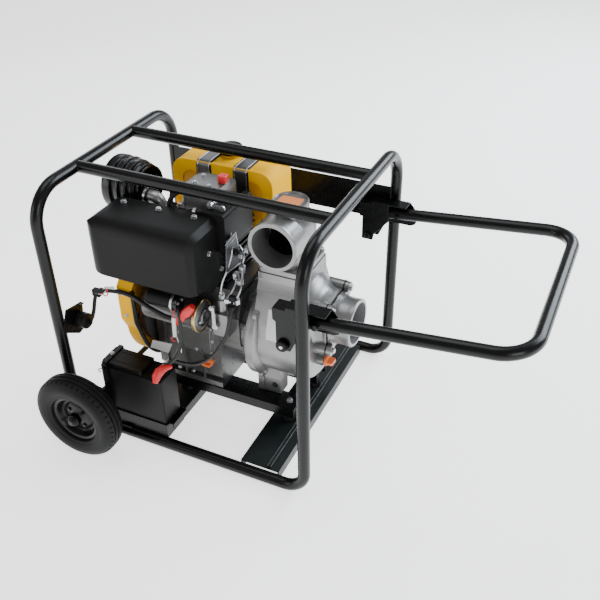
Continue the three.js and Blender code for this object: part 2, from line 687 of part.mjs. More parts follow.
// Silencer box behind a pressed heat shield; both are open shells of sheet steel.
function shieldSolid(inset) {
  const { x0, x1, y0, y1, z0, z1 } = SHIELD;
  const [a, b, f, top] = [x0 + inset, x1 - inset, y0 + inset, z1 - inset];
  const plan = polygon([
    [a + 34, f], [b - 30, f], [b, f + 46], [b, y1 + inset], [a + 6, y1 + inset],
    [a, f + 90], [a, f + 40], [a + 12, f + 12],
  ]);
  const profile = polygon([
    [f, z0 - inset], [f, top - 36], [f + 6, top - 18], [f + 24, top - 6],
    [f + 60, top], [y1 + inset, top], [y1 + inset, z0 - inset],
  ]);
  return slab("xy", plan, z0 - inset, top).intersect(slab("yz", profile, a, b));
}
add("heat_shield", cut(shieldSolid(0), shieldSolid(2.5)), BLACK_PAINT);

function muffler() {
  const [x0, x1, y0, y1, z0, z1] = [102, 366, 94, 204, 466, 604];
  const shape = roundedRect((y0 + y1) / 2, (z0 + z1) / 2, y1 - y0, z1 - z0, 34);
  const inner = roundedRect((y0 + y1) / 2, (z0 + z1) / 2, y1 - y0 - 6, z1 - z0 - 6, 31);
  const outlet = [200, 150];
  const neck = rod("y", EXHAUST, y1 - 4, SHIELD.y1 - 3 - GAP, 24, 20);
  const tail = rod("z", outlet, z0 - 28, z0 + 4, 16, 14);
  return cut(
    join(slab("yz", shape, x0, x1), neck, tail),
    slab("yz", inner, x0 + 3, x1 - 3),
    rod("z", outlet, z0 - 29, z0 + 6, 13, 14),
  );
}
add("muffler", muffler(), BLACK_PAINT);

const CLEANER = [296, 610];
function airCleaner() {
  const profile = [[0, 22], [60, 22], [72, 27], [76, 36]];
  const ribs = 3;
  for (let i = 0; i < ribs; i++) {
    const x = 54 + i * 28;
    profile.push([76, x], [70, x + 4], [70, x + 12], [76, x + 16]);
  }
  profile.push([70, 136], [40, 138], [0, 138]);
  return turned("x", CLEANER, profile, 22);
}
add("air_cleaner", airCleaner(), BLACK_PLASTIC);

// Intake pipe from the air cleaner to the head's side port.
function intakePipe() {
  const path = new BentPath(
    [[138 + GAP, 262, 606], [176, 262, 606], [196, 262, 572], [HEAD_X - 96 - GAP, 262, 572]],
    17, 3,
  );
  return tube(path, 18, 15, 12);
}
add("intake_pipe", intakePipe(), CAST);

// ---------------------------------------------------------------- rotor line
add("crankshaft", join(
  rod("x", axisAt, 122, 496, CRANK_R, 18),
  rod("x", axisAt, 490, 578, PUMP_SHAFT_R, 18),
), STEEL);

function flywheelFan() {
  const profile = [
    [CRANK_R + GAP, 140], [CRANK_R + GAP, 158], [138, 158], [138, 142], [128, 140], [CRANK_R + GAP, 140],
  ];
  const blades = Array.from({ length: 8 }, (_, i) => {
    const blade = box(126, 142, AXIS_Y - 2, AXIS_Y + 2, AXIS_Z + 70, AXIS_Z + 132);
    const turn = (360 * i) / 8;
    return blade.translate([0, -AXIS_Y, -AXIS_Z]).rotate([turn, 0, 0]).translate([0, AXIS_Y, AXIS_Z]);
  });
  return join(turned("x", axisAt, profile, 24), ...blades);
}
add("flywheel_fan", flywheelFan(), DARK_CAST);

function impeller() {
  const bore = PUMP_SHAFT_R + GAP;
  const profile = [
    [bore, 520], [88, 520], [88, 525], [40, 530], [28, 560], [bore, 560], [bore, 520],
  ];
  const vanes = Array.from({ length: 5 }, (_, i) => {
    const vane = box(524, 552, AXIS_Y - 3, AXIS_Y + 3, AXIS_Z + 26, AXIS_Z + 86);
    const turn = (360 * i) / 5;
    return vane.translate([0, -AXIS_Y, -AXIS_Z]).rotate([turn, 0, 0]).translate([0, AXIS_Y, AXIS_Z]);
  });
  return join(turned("x", axisAt, profile, 20), ...vanes);
}
add("impeller", impeller(), CAST);

// ---------------------------------------------------------------- fuel tank
const FILLER = [284, 476];
function fuelTank() {
  const { x0, x1, y0, y1, z0, z1 } = TANK;
  const block = (inset, bevel) =>
    slab(
      "xy",
      roundedRect((x0 + x1) / 2, (y0 + y1) / 2, x1 - x0 - 2 * inset, y1 - y0 - 2 * inset, 34 - inset),
      z0 + inset, z1 - inset, bevel, 3,
    );
  const neck = rod("z", FILLER, z1 - 8, z1 + 8, 20, 16);
  return cut(join(block(0, 14), neck), block(3, 12), rod("z", FILLER, z1 - 20, z1 + 9, 17, 16));
}
add("fuel_tank", fuelTank(), YELLOW_PAINT);

function fuelCap() {
  const z = TANK.z1 + 8;
  const profile = [
    [0, z - 18], [15, z - 18], [15, z + GAP], [31, z + GAP], [33, z + 4], [33, z + 17],
    [29, z + 21], [0, z + 21],
  ];
  return turned("z", FILLER, profile, 18);
}
add("fuel_cap", fuelCap(), BLACK_PLASTIC);

// Each strap is a band round the tank with a leg down to the back of the crankcase.
function tankStrap(x0) {
  const { y0, y1, z0, z1 } = TANK;
  const [w, t] = [38, 3];
  const band = cut(
    box(x0, x0 + w, y0 - GAP - t, y1 + GAP + t, z0 - GAP - t, z1 + GAP + t),
    box(x0 - 1, x0 + w + 1, y0 - GAP, y1 + GAP, z0 - GAP, z1 + GAP),
  );
  const leg = box(x0, x0 + w, AXIS_Y + CASE_HALF + GAP, y0 + 6, 250, z0 - GAP);
  return join(band, cut(leg, box(x0 - 1, x0 + w + 1, y0 - GAP, y0 + 20, z0 - GAP, z1)));
}
add("tank_strap_left", tankStrap(219), BLACK_PAINT);
add("tank_strap_right", tankStrap(332), BLACK_PAINT);

// ---------------------------------------------------------------- pump
// Adapter between the engine and the pump: a round flange with a foot.
function pumpFlange() {
  const x0 = COVER_X1 + GAP;
  const x1 = VOLUTE_X0;
  const profile = [
    [0, x0], [104, x0], [RING_R - 4, x0 + 6], [RING_R, x0 + 10], [RING_R, x1], [0, x1],
  ];
  const foot = box(x0 + 4, x1, AXIS_Y - 92, AXIS_Y + 92, BEAM_TOP + GAP, 160);
  return cut(
    join(turned("x", axisAt, profile, 30), foot),
    rod("x", axisAt, x0 - 1, x1 + 1, SHAFT_BORE, 18),
  );
}
add("pump_flange", pumpFlange(), CAST);

const DRAIN = [250, 228];
function pumpCasing() {
  const x0 = VOLUTE_X0 + GAP;
  const x1 = VOLUTE_X1;
  const inner = VOLUTE_R - VOLUTE_WALL;
  const bodyProfile = [
    [0, x0], [RING_R, x0], [RING_R, x0 + 10], [VOLUTE_R, x0 + 16], [VOLUTE_R, x1 - 14],
    [VOLUTE_R - 14, x1], [0, x1],
  ];
  const tower = slab("yz", polygon([
    [AXIS_Y - VOLUTE_R + 1, AXIS_Z], [AXIS_Y - VOLUTE_R + 6, 330], [223, 440], [223, TOP_SEAM_Z - GAP],
    [371, TOP_SEAM_Z - GAP], [371, 440], [AXIS_Y + VOLUTE_R - 6, 330], [AXIS_Y + VOLUTE_R - 1, AXIS_Z],
  ]), x0, x1 - 28);
  const collar = slab("xy", roundedRect(550, 297, 128, 150, 12), TOP_SEAM_Z - 14, TOP_SEAM_Z - GAP, 0, 3);
  const boss = rod("x", [AXIS_Y, SUCTION_Z], x1 - 20, 668, 76, 24, 70);
  const pads = slab("yz", roundedRect(AXIS_Y, SUCTION_Z, 150, 158, 34), 662, 674, 0, 4);
  const feet = [-1, 1].map((s) =>
    box(x0, 536, AXIS_Y + s * 76 - 28, AXIS_Y + s * 76 + 28, BEAM_TOP + GAP, 190),
  );
  const drainBoss = rod("x", DRAIN, x1 - 12, 664, 17, 18);
  const top = box(x0 + 12, x1 - 42, 236, 358, AXIS_Z, TOP_SEAM_Z + 1);
  return cut(
    join(turned("x", axisAt, bodyProfile, 30), tower, collar, boss, pads, ...feet, drainBoss),
    rod("x", axisAt, x0 + 12, x1 - 12, inner, 28),
    top,
    rod("x", axisAt, x0 - 1, x0 + 14, SHAFT_BORE, 18),
    rod("x", [AXIS_Y, SUCTION_Z], x1 - 14, 676, PORT_BORE, 24),
    rod("x", DRAIN, x1 - 20, 665, 10, 18),
  );
}
add("pump_casing", pumpCasing(), CAST);

// Orange wing-headed plug in the casing's lowest boss.
function drainPlug() {
  const [y, z] = DRAIN;
  return join(
    rod("x", DRAIN, 644, 668, 10 - GAP, 18),
    rod("x", DRAIN, 664 + GAP, 674, 15, 18),
    box(672, 690, y - 14, y + 14, z - 4, z + 4),
  );
}
add("drain_plug", drainPlug(), ORANGE);

const SUCTION_JOINT = 677;
function suctionFlange() {
  const x0 = SUCTION_JOINT;
  const at = [AXIS_Y, SUCTION_Z];
  const plate = slab("yz", roundedRect(AXIS_Y, SUCTION_Z, 150, 158, 34), x0, x0 + 12, 0, 4);
  const neck = turned("x", at, [
    [0, x0 + 6], [66, x0 + 6], [PORT_R - 4, x0 + 22], [PORT_R - 4, SUCTION_END - 14],
    [PORT_R, SUCTION_END - 10], [PORT_R, SUCTION_END - 2], [PORT_R - 2, SUCTION_END], [0, SUCTION_END],
  ], 28);
  const bolts = [[-1, -1], [-1, 1], [1, -1], [1, 1]].map(([sy, sz]) =>
    rod("x", [AXIS_Y + sy * 60, SUCTION_Z + sz * 62], x0 + 10, x0 + 22, 7, 6),
  );
  return cut(join(plate, neck, ...bolts), rod("x", at, x0 - 1, SUCTION_END + 1, PORT_BORE, 28));
}
add("suction_flange", suctionFlange(), CAST);

// Non-return flap, hung from a pin at the top of the suction bore; it swings in as water enters.
const FLAP_X = 671;
const FLAP_HINGE_Z = SUCTION_Z + PORT_BORE - 5;
function checkValveFlap() {
  const disc = rod("x", [AXIS_Y, SUCTION_Z - 3], FLAP_X - 3, FLAP_X + 2, 49, 22);
  return join(disc, rod("y", [FLAP_X, FLAP_HINGE_Z - 3], AXIS_Y - 14, AXIS_Y + 14, 4, 12));
}
add("check_valve_flap", checkValveFlap(), RUBBER);

// Discharge chamber on the casing's top, with its socket facing the front and a priming neck.
const PRIMER = [555, 286];
const PRIMER_Z = 652;
function dischargeElbow() {
  const z0 = TOP_SEAM_Z + 2.5;
  const flange = slab("xy", roundedRect(550, 297, 128, 150, 12), z0, z0 + 14, 0, 3);
  const chamber = turned("z", [550, ELBOW_Y], [
    [0, z0 + 4], [66, z0 + 4], [72, 540], [72, 600], [66, 628], [52, 642], [0, 644],
  ], 26);
  const at = [DISCHARGE_X, DISCHARGE_Z];
  const mouth = turned("y", at, [
    [0, DISCHARGE_Y], [PORT_R - 3, DISCHARGE_Y], [PORT_R - 1, DISCHARGE_Y + 3],
    [PORT_R - 1, DISCHARGE_Y + 10], [PORT_R - 4, DISCHARGE_Y + 14], [PORT_R, 270],
    [PORT_R, ELBOW_Y], [0, ELBOW_Y],
  ], 28);
  const neck = rod("z", PRIMER, 628, PRIMER_Z, 41, 20);
  return cut(
    join(flange, chamber, mouth, neck),
    rod("z", [550, ELBOW_Y], z0 - 1, 606, PORT_BORE, 24),
    rod("y", at, DISCHARGE_Y - 1, ELBOW_Y, PORT_BORE, 28),
    rod("z", PRIMER, 600, PRIMER_Z + 1, 30, 18),
  );
}
add("discharge_elbow", dischargeElbow(), CAST);

// Priming cap: a screwed plug with a wide, shallow round head and a grip bar.
function primingCap() {
  const [x, y] = PRIMER;
  const z = PRIMER_Z + GAP;
  const head = turned("z", PRIMER, [
    [0, z - 20], [29, z - 20], [29, z], [44, z], [46, z + 3], [46, z + 12], [42, z + 15],
    [38, z + 11], [0, z + 11],
  ], 20);
  return join(head, box(x - 36, x + 36, y - 4, y + 4, z + 9, z + 17));
}
add("priming_cap", primingCap(), CAST);

// ---------------------------------------------------------------- battery leads
const CABLE_R = 5;
function lead(points) {
  const route = new THREE.CatmullRomCurve3(points.map((p) => new THREE.Vector3(...p)));
  const geometry = new THREE.ExtrudeGeometry(new THREE.Shape(ring(8, CABLE_R)), {
    steps: 18,
    extrudePath: route,
    bevelEnabled: false,
  });
  return solid(geometry);
}
add("starter_cable", lead([
  [318, 101, 402], [327, 88, 388], [332, 80, 345], [330, 74, 300], [318, 60, 262],
  [296, 40, 240], [286, 32, 236],
]), RUBBER);
add("ground_cable", lead([
  [448, 150, 402], [446, 138, 372], [436, 128, 320], [404, 122, 262], [366, 116, 222],
  [332, 104, 212], [306, 84, 226], [286, 72, 236],
]), RUBBER);

// ---------------------------------------------------------------- origin
// The row frame's zero: the middle of the machine's box, on the ground.
const LEFT_MOST = WHEEL_X - WHEEL_R;
const RIGHT_MOST = HANDLE_END_X + HANDLE_R;
pump.position.set(-(LEFT_MOST + RIGHT_MOST) / 2, -FRAME_W / 2, TUBE_R);

export default pump;
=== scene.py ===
# %% [markdown]
# # A portable fire pump
# The machine stands in a tube frame: a small diesel engine, a water pump bolted to its end, a tank, a
# battery and a folding handle. The solid model is loaded first and never moves. Every visible piece is then
# either a solid that keeps its shape and gets a finish, or a finer piece that stands for a solid.

# %% The solid model
import math

import bmesh
import bpy
from mathutils import Matrix, Vector


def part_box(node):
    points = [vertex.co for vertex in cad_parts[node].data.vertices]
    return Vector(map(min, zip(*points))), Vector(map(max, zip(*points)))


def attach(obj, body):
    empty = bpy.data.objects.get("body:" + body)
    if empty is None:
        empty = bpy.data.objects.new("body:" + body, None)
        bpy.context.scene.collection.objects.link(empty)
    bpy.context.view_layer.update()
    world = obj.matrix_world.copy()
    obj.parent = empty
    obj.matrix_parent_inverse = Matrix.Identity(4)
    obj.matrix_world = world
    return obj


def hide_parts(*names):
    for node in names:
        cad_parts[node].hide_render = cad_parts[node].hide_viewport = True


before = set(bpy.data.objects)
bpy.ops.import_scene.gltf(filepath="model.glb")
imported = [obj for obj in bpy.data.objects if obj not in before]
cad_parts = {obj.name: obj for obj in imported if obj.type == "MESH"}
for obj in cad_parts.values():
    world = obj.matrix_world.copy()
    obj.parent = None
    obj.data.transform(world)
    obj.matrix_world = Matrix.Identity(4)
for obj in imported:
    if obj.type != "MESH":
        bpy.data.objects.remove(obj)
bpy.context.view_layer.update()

# %% [markdown]
# Places are easiest to read in millimetres from one corner of the frame: zero is the middle of the bent tube
# at the front left corner, level with the bottom rails. The battery stands square to that corner, so its low
# corner fixes the zero.

# %% Places in millimetres
MM = 0.001
BATTERY_CORNER = (107, 7, 21)
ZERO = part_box("battery")[0] - Vector(BATTERY_CORNER) * MM


def spot(x, y, z):
    """A point in metres from millimetres off the frame's corner."""
    return ZERO + Vector((x, y, z)) * MM


TUBE_R = 16
FRAME_L = 715
FRAME_W = 620
FRAME_H = 700
AXIS_Y = 297
AXIS_Z = 270
print("zero of the frame's corner:", [round(x, 4) for x in ZERO])

# %% [markdown]
# ## Camera
# The camera looks down on the front right corner from a little above head height. A long lens at some
# distance keeps the rails close to parallel. Three angles set its direction: round the machine, above the
# horizon, and a slight roll.

# %% Camera
EYE = (0.72149, -1.59913, 1.60018)
LENS_MM = 48.24
ROUND, ABOVE, ROLL = (math.radians(a) for a in (25.241, 34.786, -0.8557))

back = Vector((math.sin(ROUND) * math.cos(ABOVE), -math.cos(ROUND) * math.cos(ABOVE), math.sin(ABOVE)))
level = Vector((math.cos(ROUND), math.sin(ROUND), 0))
upright = back.cross(level)
side = level * math.cos(ROLL) + upright * math.sin(ROLL)
top = upright * math.cos(ROLL) - level * math.sin(ROLL)

camera = bpy.data.objects.new("camera", bpy.data.cameras.new("camera"))
camera.data.lens = LENS_MM
camera.matrix_world = Matrix.Translation(EYE) @ Matrix((side, top, back)).transposed().to_4x4()
bpy.context.scene.collection.objects.link(camera)
bpy.context.scene.camera = camera
print("camera at", EYE, "lens", LENS_MM, "mm")

# %% [markdown]
# ## Floor and light
# Black paint only shows its form through what it mirrors, so the light is a few large soft panels. The
# window behind and to the right is the strong one: it draws a cool bright line along every tube that faces
# it. The one overhead lights the tops, and three weak ones lift the shadows.

# %% Floor and light


def panel(name, at, aim, width, height, watts, tint=(1, 1, 1)):
    """A rectangular soft light at a point, turned to face another point."""
    light = bpy.data.lights.new(name, "AREA")
    light.shape = "RECTANGLE"
    light.size = width
    light.size_y = height
    light.energy = watts
    light.color = tint
    lamp = bpy.data.objects.new(name, light)
    lamp.location = at
    lamp.rotation_euler = (Vector(at) - Vector(aim)).to_track_quat("Z", "Y").to_euler()
    bpy.context.scene.collection.objects.link(lamp)


panel("overhead", (-0.5, 0.2, 3.0), (0, 0, 0.3), 2.0, 1.4, 30, (0.95, 0.98, 1))
panel("window", (2.0, 3.2, 2.7), (0, 0, 0.6), 3.4, 2.4, 300, (0.84, 0.92, 1))
panel("behind", (-2.4, 2.2, 1.7), (0, 0, 0.4), 1.6, 1.0, 14, (0.92, 0.96, 1))
panel("front_right", (2.4, -1.9, 1.5), (0.1, 0, 0.35), 1.4, 1.4, 36)
panel("front_left", (-2.0, -2.0, 1.2), (0, 0, 0.3), 1.4, 1.2, 16)

FLOOR_HALF = 30
SKY = 0.44
world = bpy.data.worlds.new("studio")
world.use_nodes = True
world.node_tree.nodes["Background"].inputs["Color"].default_value = (1, 1, 1, 1)
world.node_tree.nodes["Background"].inputs["Strength"].default_value = SKY
bpy.context.scene.world = world

floor_mesh = bpy.data.meshes.new("floor")
corners = [(-FLOOR_HALF, -FLOOR_HALF, 0), (FLOOR_HALF, -FLOOR_HALF, 0), (FLOOR_HALF, FLOOR_HALF, 0),
           (-FLOOR_HALF, FLOOR_HALF, 0)]
floor_mesh.from_pydata(corners, [], [(0, 1, 2, 3)])
floor = bpy.data.objects.new("floor", floor_mesh)
bpy.context.scene.collection.objects.link(floor)
print("lights and floor ready")

# %% [markdown]
# ## Finishes
# A finish is a shader with a pattern behind some of its sockets. Patterns are sums and products of noise, so
# one small class wraps a socket and lets Python's operators add the Math nodes. A second class holds the
# material: it makes any other node and feeds the sockets.

# %% Shader arithmetic


class Signal:
    """An output of a shader node. Arithmetic on it adds a Math node."""

    def __init__(self, finish, socket):
        self.finish = finish
        self.socket = socket

    def maths(self, operation, *values):
        return self.finish.node("ShaderNodeMath", {"operation": operation}, dict(enumerate(values)))

    def __add__(self, other):
        return self.maths("ADD", self, other)

    def __mul__(self, other):
        return self.maths("MULTIPLY", self, other)

    __radd__ = __add__
    __rmul__ = __mul__


class Finish:
    """A material with patterns in millimetres. Plain numbers go straight on its shader's sockets."""

    def __init__(self, name, plain):
        self.material = bpy.data.materials.new(name)
        self.material.use_nodes = True
        self.tree = self.material.node_tree
        self.shader = self.tree.nodes["Principled BSDF"]
        self.place = self.node("ShaderNodeTexCoord", output="Object")
        self.drive(plain)

    def feed(self, socket, value):
        if isinstance(value, Signal):
            self.tree.links.new(value.socket, socket)
        else:
            socket.default_value = value

    def drive(self, sockets):
        for name, value in sockets.items():
            self.feed(self.shader.inputs[name], value)

    def node(self, kind, settings=None, sockets=None, output=0):
        made = self.tree.nodes.new(kind)
        for name, value in (settings or {}).items():
            setattr(made, name, value)
        for name, value in (sockets or {}).items():
            self.feed(made.inputs[name], value)
        return Signal(self, made.outputs[output])

    def noise(self, size, detail=2.0, stretch=(1, 1, 1)):
        """Noise with lumps about this many millimetres across, from 0 to 1."""
        place = self.node("ShaderNodeVectorMath", {"operation": "MULTIPLY"}, {0: self.place, 1: stretch})
        sockets = {"Vector": place, "Scale": 1 / (size * MM), "Detail": detail}
        return self.node("ShaderNodeTexNoise", sockets=sockets)

    def between(self, value, low, high):
        """0 below low, 1 above high, and a straight rise from one to the other."""
        sockets = {"Value": value, "From Min": low, "From Max": high}
        return self.node("ShaderNodeMapRange", {"clamp": True}, sockets)

    def mix(self, share, first, second):
        """One colour at 0, the other at 1."""
        sockets = {0: share, 6: first, 7: second}
        return self.node("ShaderNodeMix", {"data_type": "RGBA"}, sockets, output=2)

    def bump(self, height, depth, strength=1.0):
        """Raised detail of this depth in millimetres where height is 1."""
        sockets = {"Height": height, "Distance": depth * MM, "Strength": strength}
        self.drive({"Normal": self.node("ShaderNodeBump", sockets=sockets)})


print("shader classes ready")

# %% [markdown]
# Enamel on bent tube is smooth and satin. It mirrors a light panel as a clear bright line, broken by a
# faint orange peel. Handling leaves it dusty in clouds, which shows as colour and as roughness.

# %% Enamel


def enamel(name, dark, light, rough, peel_depth=0.05, gloss=0.5, coat=0.0):
    paint = Finish(name, {"Coat Weight": coat, "Coat Roughness": 0.12, "Specular IOR Level": gloss})
    cloud = paint.noise(70, 4)
    scuff = paint.between(paint.noise(9, 5, (1, 1, 0.35)), 0.60, 0.72)
    paint.drive({"Base Color": paint.mix(paint.between(cloud, 0.35, 0.7), dark, light)})
    paint.drive({"Roughness": rough + cloud * 0.12 + scuff * 0.10})
    paint.bump(paint.noise(2.6, 1), peel_depth)
    return paint


black_paint = enamel("black_enamel", (0.0015, 0.0016, 0.0018, 1), (0.0030, 0.0031, 0.0034, 1), 0.20,
                     gloss=0.24)
channel_paint = enamel("channel_enamel", (0.004, 0.0065, 0.0065, 1), (0.009, 0.013, 0.013, 1), 0.34,
                       gloss=0.35)
yellow_paint = enamel("yellow_enamel", (0.93, 0.47, 0.0, 1), (0.98, 0.53, 0.0, 1), 0.38, 0.03, 0.04, 0.0)
# The amber is the tank's yellow darkened as painted shade, for the front panel that faces away from the
# light.
shaded_yellow_paint = enamel("amber_enamel", (0.82, 0.34, 0.0, 1), (0.92, 0.42, 0.002, 1), 0.34, 0.03, 0.3, 0.05)
print("enamels ready")

# %% [markdown]
# The heat shield and the silencer wear a stoved black: duller than enamel, with a fine tooth that you feel
# more than see, and a little brown where it has been hot.

# %% Heat-resistant black
heat_black = Finish("heat_black", {"Specular IOR Level": 0.14})
heat_cloud = heat_black.noise(120, 3)
heat_black.drive({"Base Color": heat_black.mix(heat_cloud, (0.0035, 0.0035, 0.0037, 1),
                                               (0.0075, 0.0073, 0.007, 1))})
heat_black.drive({"Roughness": 0.42 + heat_cloud * 0.10})
heat_black.bump(heat_black.noise(1.1, 2), 0.06)
print("heat-resistant black ready")

# %% [markdown]
# Castings are blasted after the mould, so they are even, pale and matt, with a grain of about half a
# millimetre. The engine's castings have been handled and oiled, and are darker and blotchy.

# %% Castings


def casting(name, pale, stain, rough, grain_depth, stain_from):
    cast = Finish(name, {"Metallic": 0.82})
    blotch = cast.noise(38, 5)
    dirt = cast.between(cast.noise(16, 6), stain_from, stain_from + 0.22)
    clean = cast.mix(blotch, pale, tuple(c * 0.86 for c in pale[:3]) + (1,))
    cast.drive({"Base Color": cast.mix(dirt * 0.75, clean, stain)})
    cast.drive({"Roughness": rough + blotch * 0.10 + dirt * 0.12})
    cast.bump(cast.noise(0.8, 3) + cast.noise(4.5, 2) * 0.5, grain_depth)
    return cast


cast_aluminium = casting("cast_aluminium", (0.26, 0.258, 0.256, 1), (0.15, 0.148, 0.144, 1), 0.28, 0.14,
                         0.60)
grey_cast = casting("engine_casting", (0.16, 0.16, 0.157, 1), (0.07, 0.067, 0.062, 1), 0.33, 0.16, 0.56)
# The port casting colours the bore linings, and also the thin lines on the cross member's folds, where it is
# a painted highlight.
bore_grey_and_fold_highlight = casting("port_casting", (0.26, 0.26, 0.262, 1), (0.12, 0.12, 0.12, 1), 0.55, 0.14, 0.6)
# The near-black chamber casting is painted shade for the inside of the discharge elbow.
bore_shade_cast = casting("chamber_casting", (0.05, 0.05, 0.05, 1), (0.03, 0.03, 0.03, 1), 0.6, 0.14, 0.6)
print("castings ready")

# %% [markdown]
# Bolts and levers are zinc plated: bright, with a fine turned or rolled streak. Some fittings have the
# yellow tint of an older plating.

# %% Plated steel


def plated(name, colour, rough):
    steel = Finish(name, {"Metallic": 1.0})
    streak = steel.noise(1.2, 3, (1, 1, 0.2))
    steel.drive({"Base Color": steel.mix(streak, colour, tuple(c * 0.7 for c in colour[:3]) + (1,))})
    steel.drive({"Roughness": rough + streak * 0.16})
    steel.bump(streak, 0.03)
    return steel


zinc = plated("zinc_steel", (0.60, 0.61, 0.63, 1), 0.20)
gold_zinc = plated("yellow_zinc", (0.62, 0.47, 0.22, 1), 0.22)
print("plated steels ready")

# %% [markdown]
# Rubber and moulded plastic differ in gloss and grain. Tyres are dull and pick up dust; a battery case is
# finely grained; the air cleaner is glossy. Coloured mouldings are the boots, the plugs and the cap.

# %% Rubber and plastic


def moulded(name, colour, rough, grain_size, grain_depth, dust=0.0, coat=0.0, gloss=0.5):
    stuff = Finish(name, {"Coat Weight": coat, "Coat Roughness": 0.08, "Specular IOR Level": gloss})
    cloud = stuff.noise(30, 4)
    dusty = tuple(c * (1 - dust) + 0.10 * dust for c in colour[:3]) + (1,)
    stuff.drive({"Base Color": stuff.mix(stuff.between(cloud, 0.4, 0.75), colour, dusty)})
    stuff.drive({"Roughness": rough + cloud * 0.12})
    stuff.bump(stuff.noise(grain_size, 2), grain_depth)
    return stuff


tyre_rubber = moulded("tyre_rubber", (0.0035, 0.0035, 0.0038, 1), 0.52, 0.9, 0.08, 0.02, gloss=0.18)
rubber = moulded("black_rubber", (0.004, 0.004, 0.004, 1), 0.42, 1.2, 0.05, 0.03, gloss=0.3)
cable_jacket = moulded("cable_jacket", (0.004, 0.004, 0.0045, 1), 0.28, 2.0, 0.03, 0.02, gloss=0.35)
black_plastic = moulded("grained_plastic", (0.0025, 0.0025, 0.0025, 1), 0.38, 0.7, 0.05, 0.01, gloss=0.18)
gloss_plastic = moulded("gloss_plastic", (0.003, 0.003, 0.0035, 1), 0.16, 9.0, 0.05, gloss=0.34)
orange_plastic = moulded("orange_plastic", (0.78, 0.16, 0.035, 1), 0.34, 1.5, 0.04, 0.05)
red_rubber = moulded("red_boot_rubber", (0.62, 0.012, 0.014, 1), 0.32, 1.5, 0.05, 0.03)
white_tag = moulded("white_tag", (0.62, 0.62, 0.60, 1), 0.45, 4.0, 0.05)
label_film = moulded("blank_label", (0.62, 0.60, 0.60, 1), 0.32, 12.0, 0.02)
orange_film = moulded("blank_orange_label", (0.78, 0.25, 0.08, 1), 0.38, 12.0, 0.02)
floor_white = moulded("floor_matt", (0.90, 0.90, 0.90, 1), 0.8, 200.0, 0.0, gloss=0.1)
FLOOR_GLOW = 1.5
floor_white.drive({"Emission Color": (1, 1, 1, 1), "Emission Strength": FLOOR_GLOW})
floor_mesh.materials.append(floor_white.material)
print("rubber and plastic ready")

# %% [markdown]
# ## Making shapes
# Four ways of making a solid cover the whole machine: a profile turned round an axis, an outline pushed
# along an axis, a round section swept along a path, and a set of bolts. Solids are then joined or cut.

# %% Turning


def new_piece(name, points, faces):
    """A mesh object whose points are given in millimetres from the frame's corner."""
    mesh = bpy.data.meshes.new(name)
    mesh.from_pydata([spot(*p) for p in points], [], faces)
    shape = bmesh.new()
    shape.from_mesh(mesh)
    bmesh.ops.recalc_face_normals(shape, faces=shape.faces)
    shape.to_mesh(mesh)
    shape.free()
    piece = bpy.data.objects.new(name, mesh)
    bpy.context.scene.collection.objects.link(piece)
    return piece


def on_axis(axis, at, along, first, second):
    """A point at a distance along an axis, and two offsets across it."""
    u, v = at[0] + first, at[1] + second
    return {"x": (along, u, v), "y": (u, along, v), "z": (u, v, along)}[axis]


def turned(name, axis, at, profile, sides=64):
    """Turns pairs of (radius, distance along the axis) round that axis. A radius of 0 closes an end."""
    points, rings = [], []
    closed = profile[0] == profile[-1]
    for radius, along in profile[:-1] if closed else profile:
        steps = 1 if radius == 0 else sides
        rings.append([len(points) + k for k in range(steps)])
        for k in range(steps):
            angle = 2 * math.pi * k / sides
            points.append(on_axis(axis, at, along, radius * math.cos(angle), radius * math.sin(angle)))
    faces = []
    pairs = list(zip(rings, rings[1:])) + ([(rings[-1], rings[0])] if closed else [])
    for low, high in pairs:
        for k in range(sides):
            loop = [low[k % len(low)], low[(k + 1) % len(low)], high[(k + 1) % len(high)],
                    high[k % len(high)]]
            faces.append(list(dict.fromkeys(loop)))
    return new_piece(name, points, [f for f in faces if len(f) > 2])


def rod(axis, at, a, b, radius, sides=40):
    return turned("rod", axis, at, [(0, a), (radius, a), (radius, b), (0, b)], sides)


print("turning ready")

# %% [markdown]
# An outline is a list of corners. Round corners are worked out as arcs, so a rounded rectangle needs only
# its size and its corner radius.

# %% Outlines and plates


def rounded(centre_u, centre_v, width, height, radius, steps=8):
    """A rounded rectangle as a list of points."""
    outline = []
    for quarter, (su, sv) in enumerate([(1, 1), (-1, 1), (-1, -1), (1, -1)]):
        u = centre_u + su * (width / 2 - radius)
        v = centre_v + sv * (height / 2 - radius)
        for k in range(steps + 1):
            angle = (quarter + k / steps) * math.pi / 2
            outline.append((u + radius * math.cos(angle), v + radius * math.sin(angle)))
    return outline


def prism(name, plane, outline, a, b, far=None):
    """Pushes an outline drawn in yz, xz or xy from a to b along the third axis, to another one if given."""
    place = {"yz": lambda u, v, w: (w, u, v), "xz": lambda u, v, w: (u, w, v), "xy": lambda u, v,
             w: (u, v, w)}
    points = [place[plane](u, v, a) for u, v in outline] + [place[plane](u, v, b) for u, v in far or outline]
    n = len(outline)
    faces = [list(range(n)), list(range(n, 2 * n))]
    faces += [(k, (k + 1) % n, n + (k + 1) % n, n + k) for k in range(n)]
    return new_piece(name, points, faces)


def block(x0, x1, y0, y1, z0, z1):
    return prism("block", "xy", [(x0, y0), (x1, y0), (x1, y1), (x0, y1)], z0, z1)


print("plates ready")

# %% [markdown]
# A swept tube keeps its section upright along the path by turning it only as much as the path turns. Bends
# are arcs between straight runs; free wires run through their points on a smooth curve.

# %% Sweeping


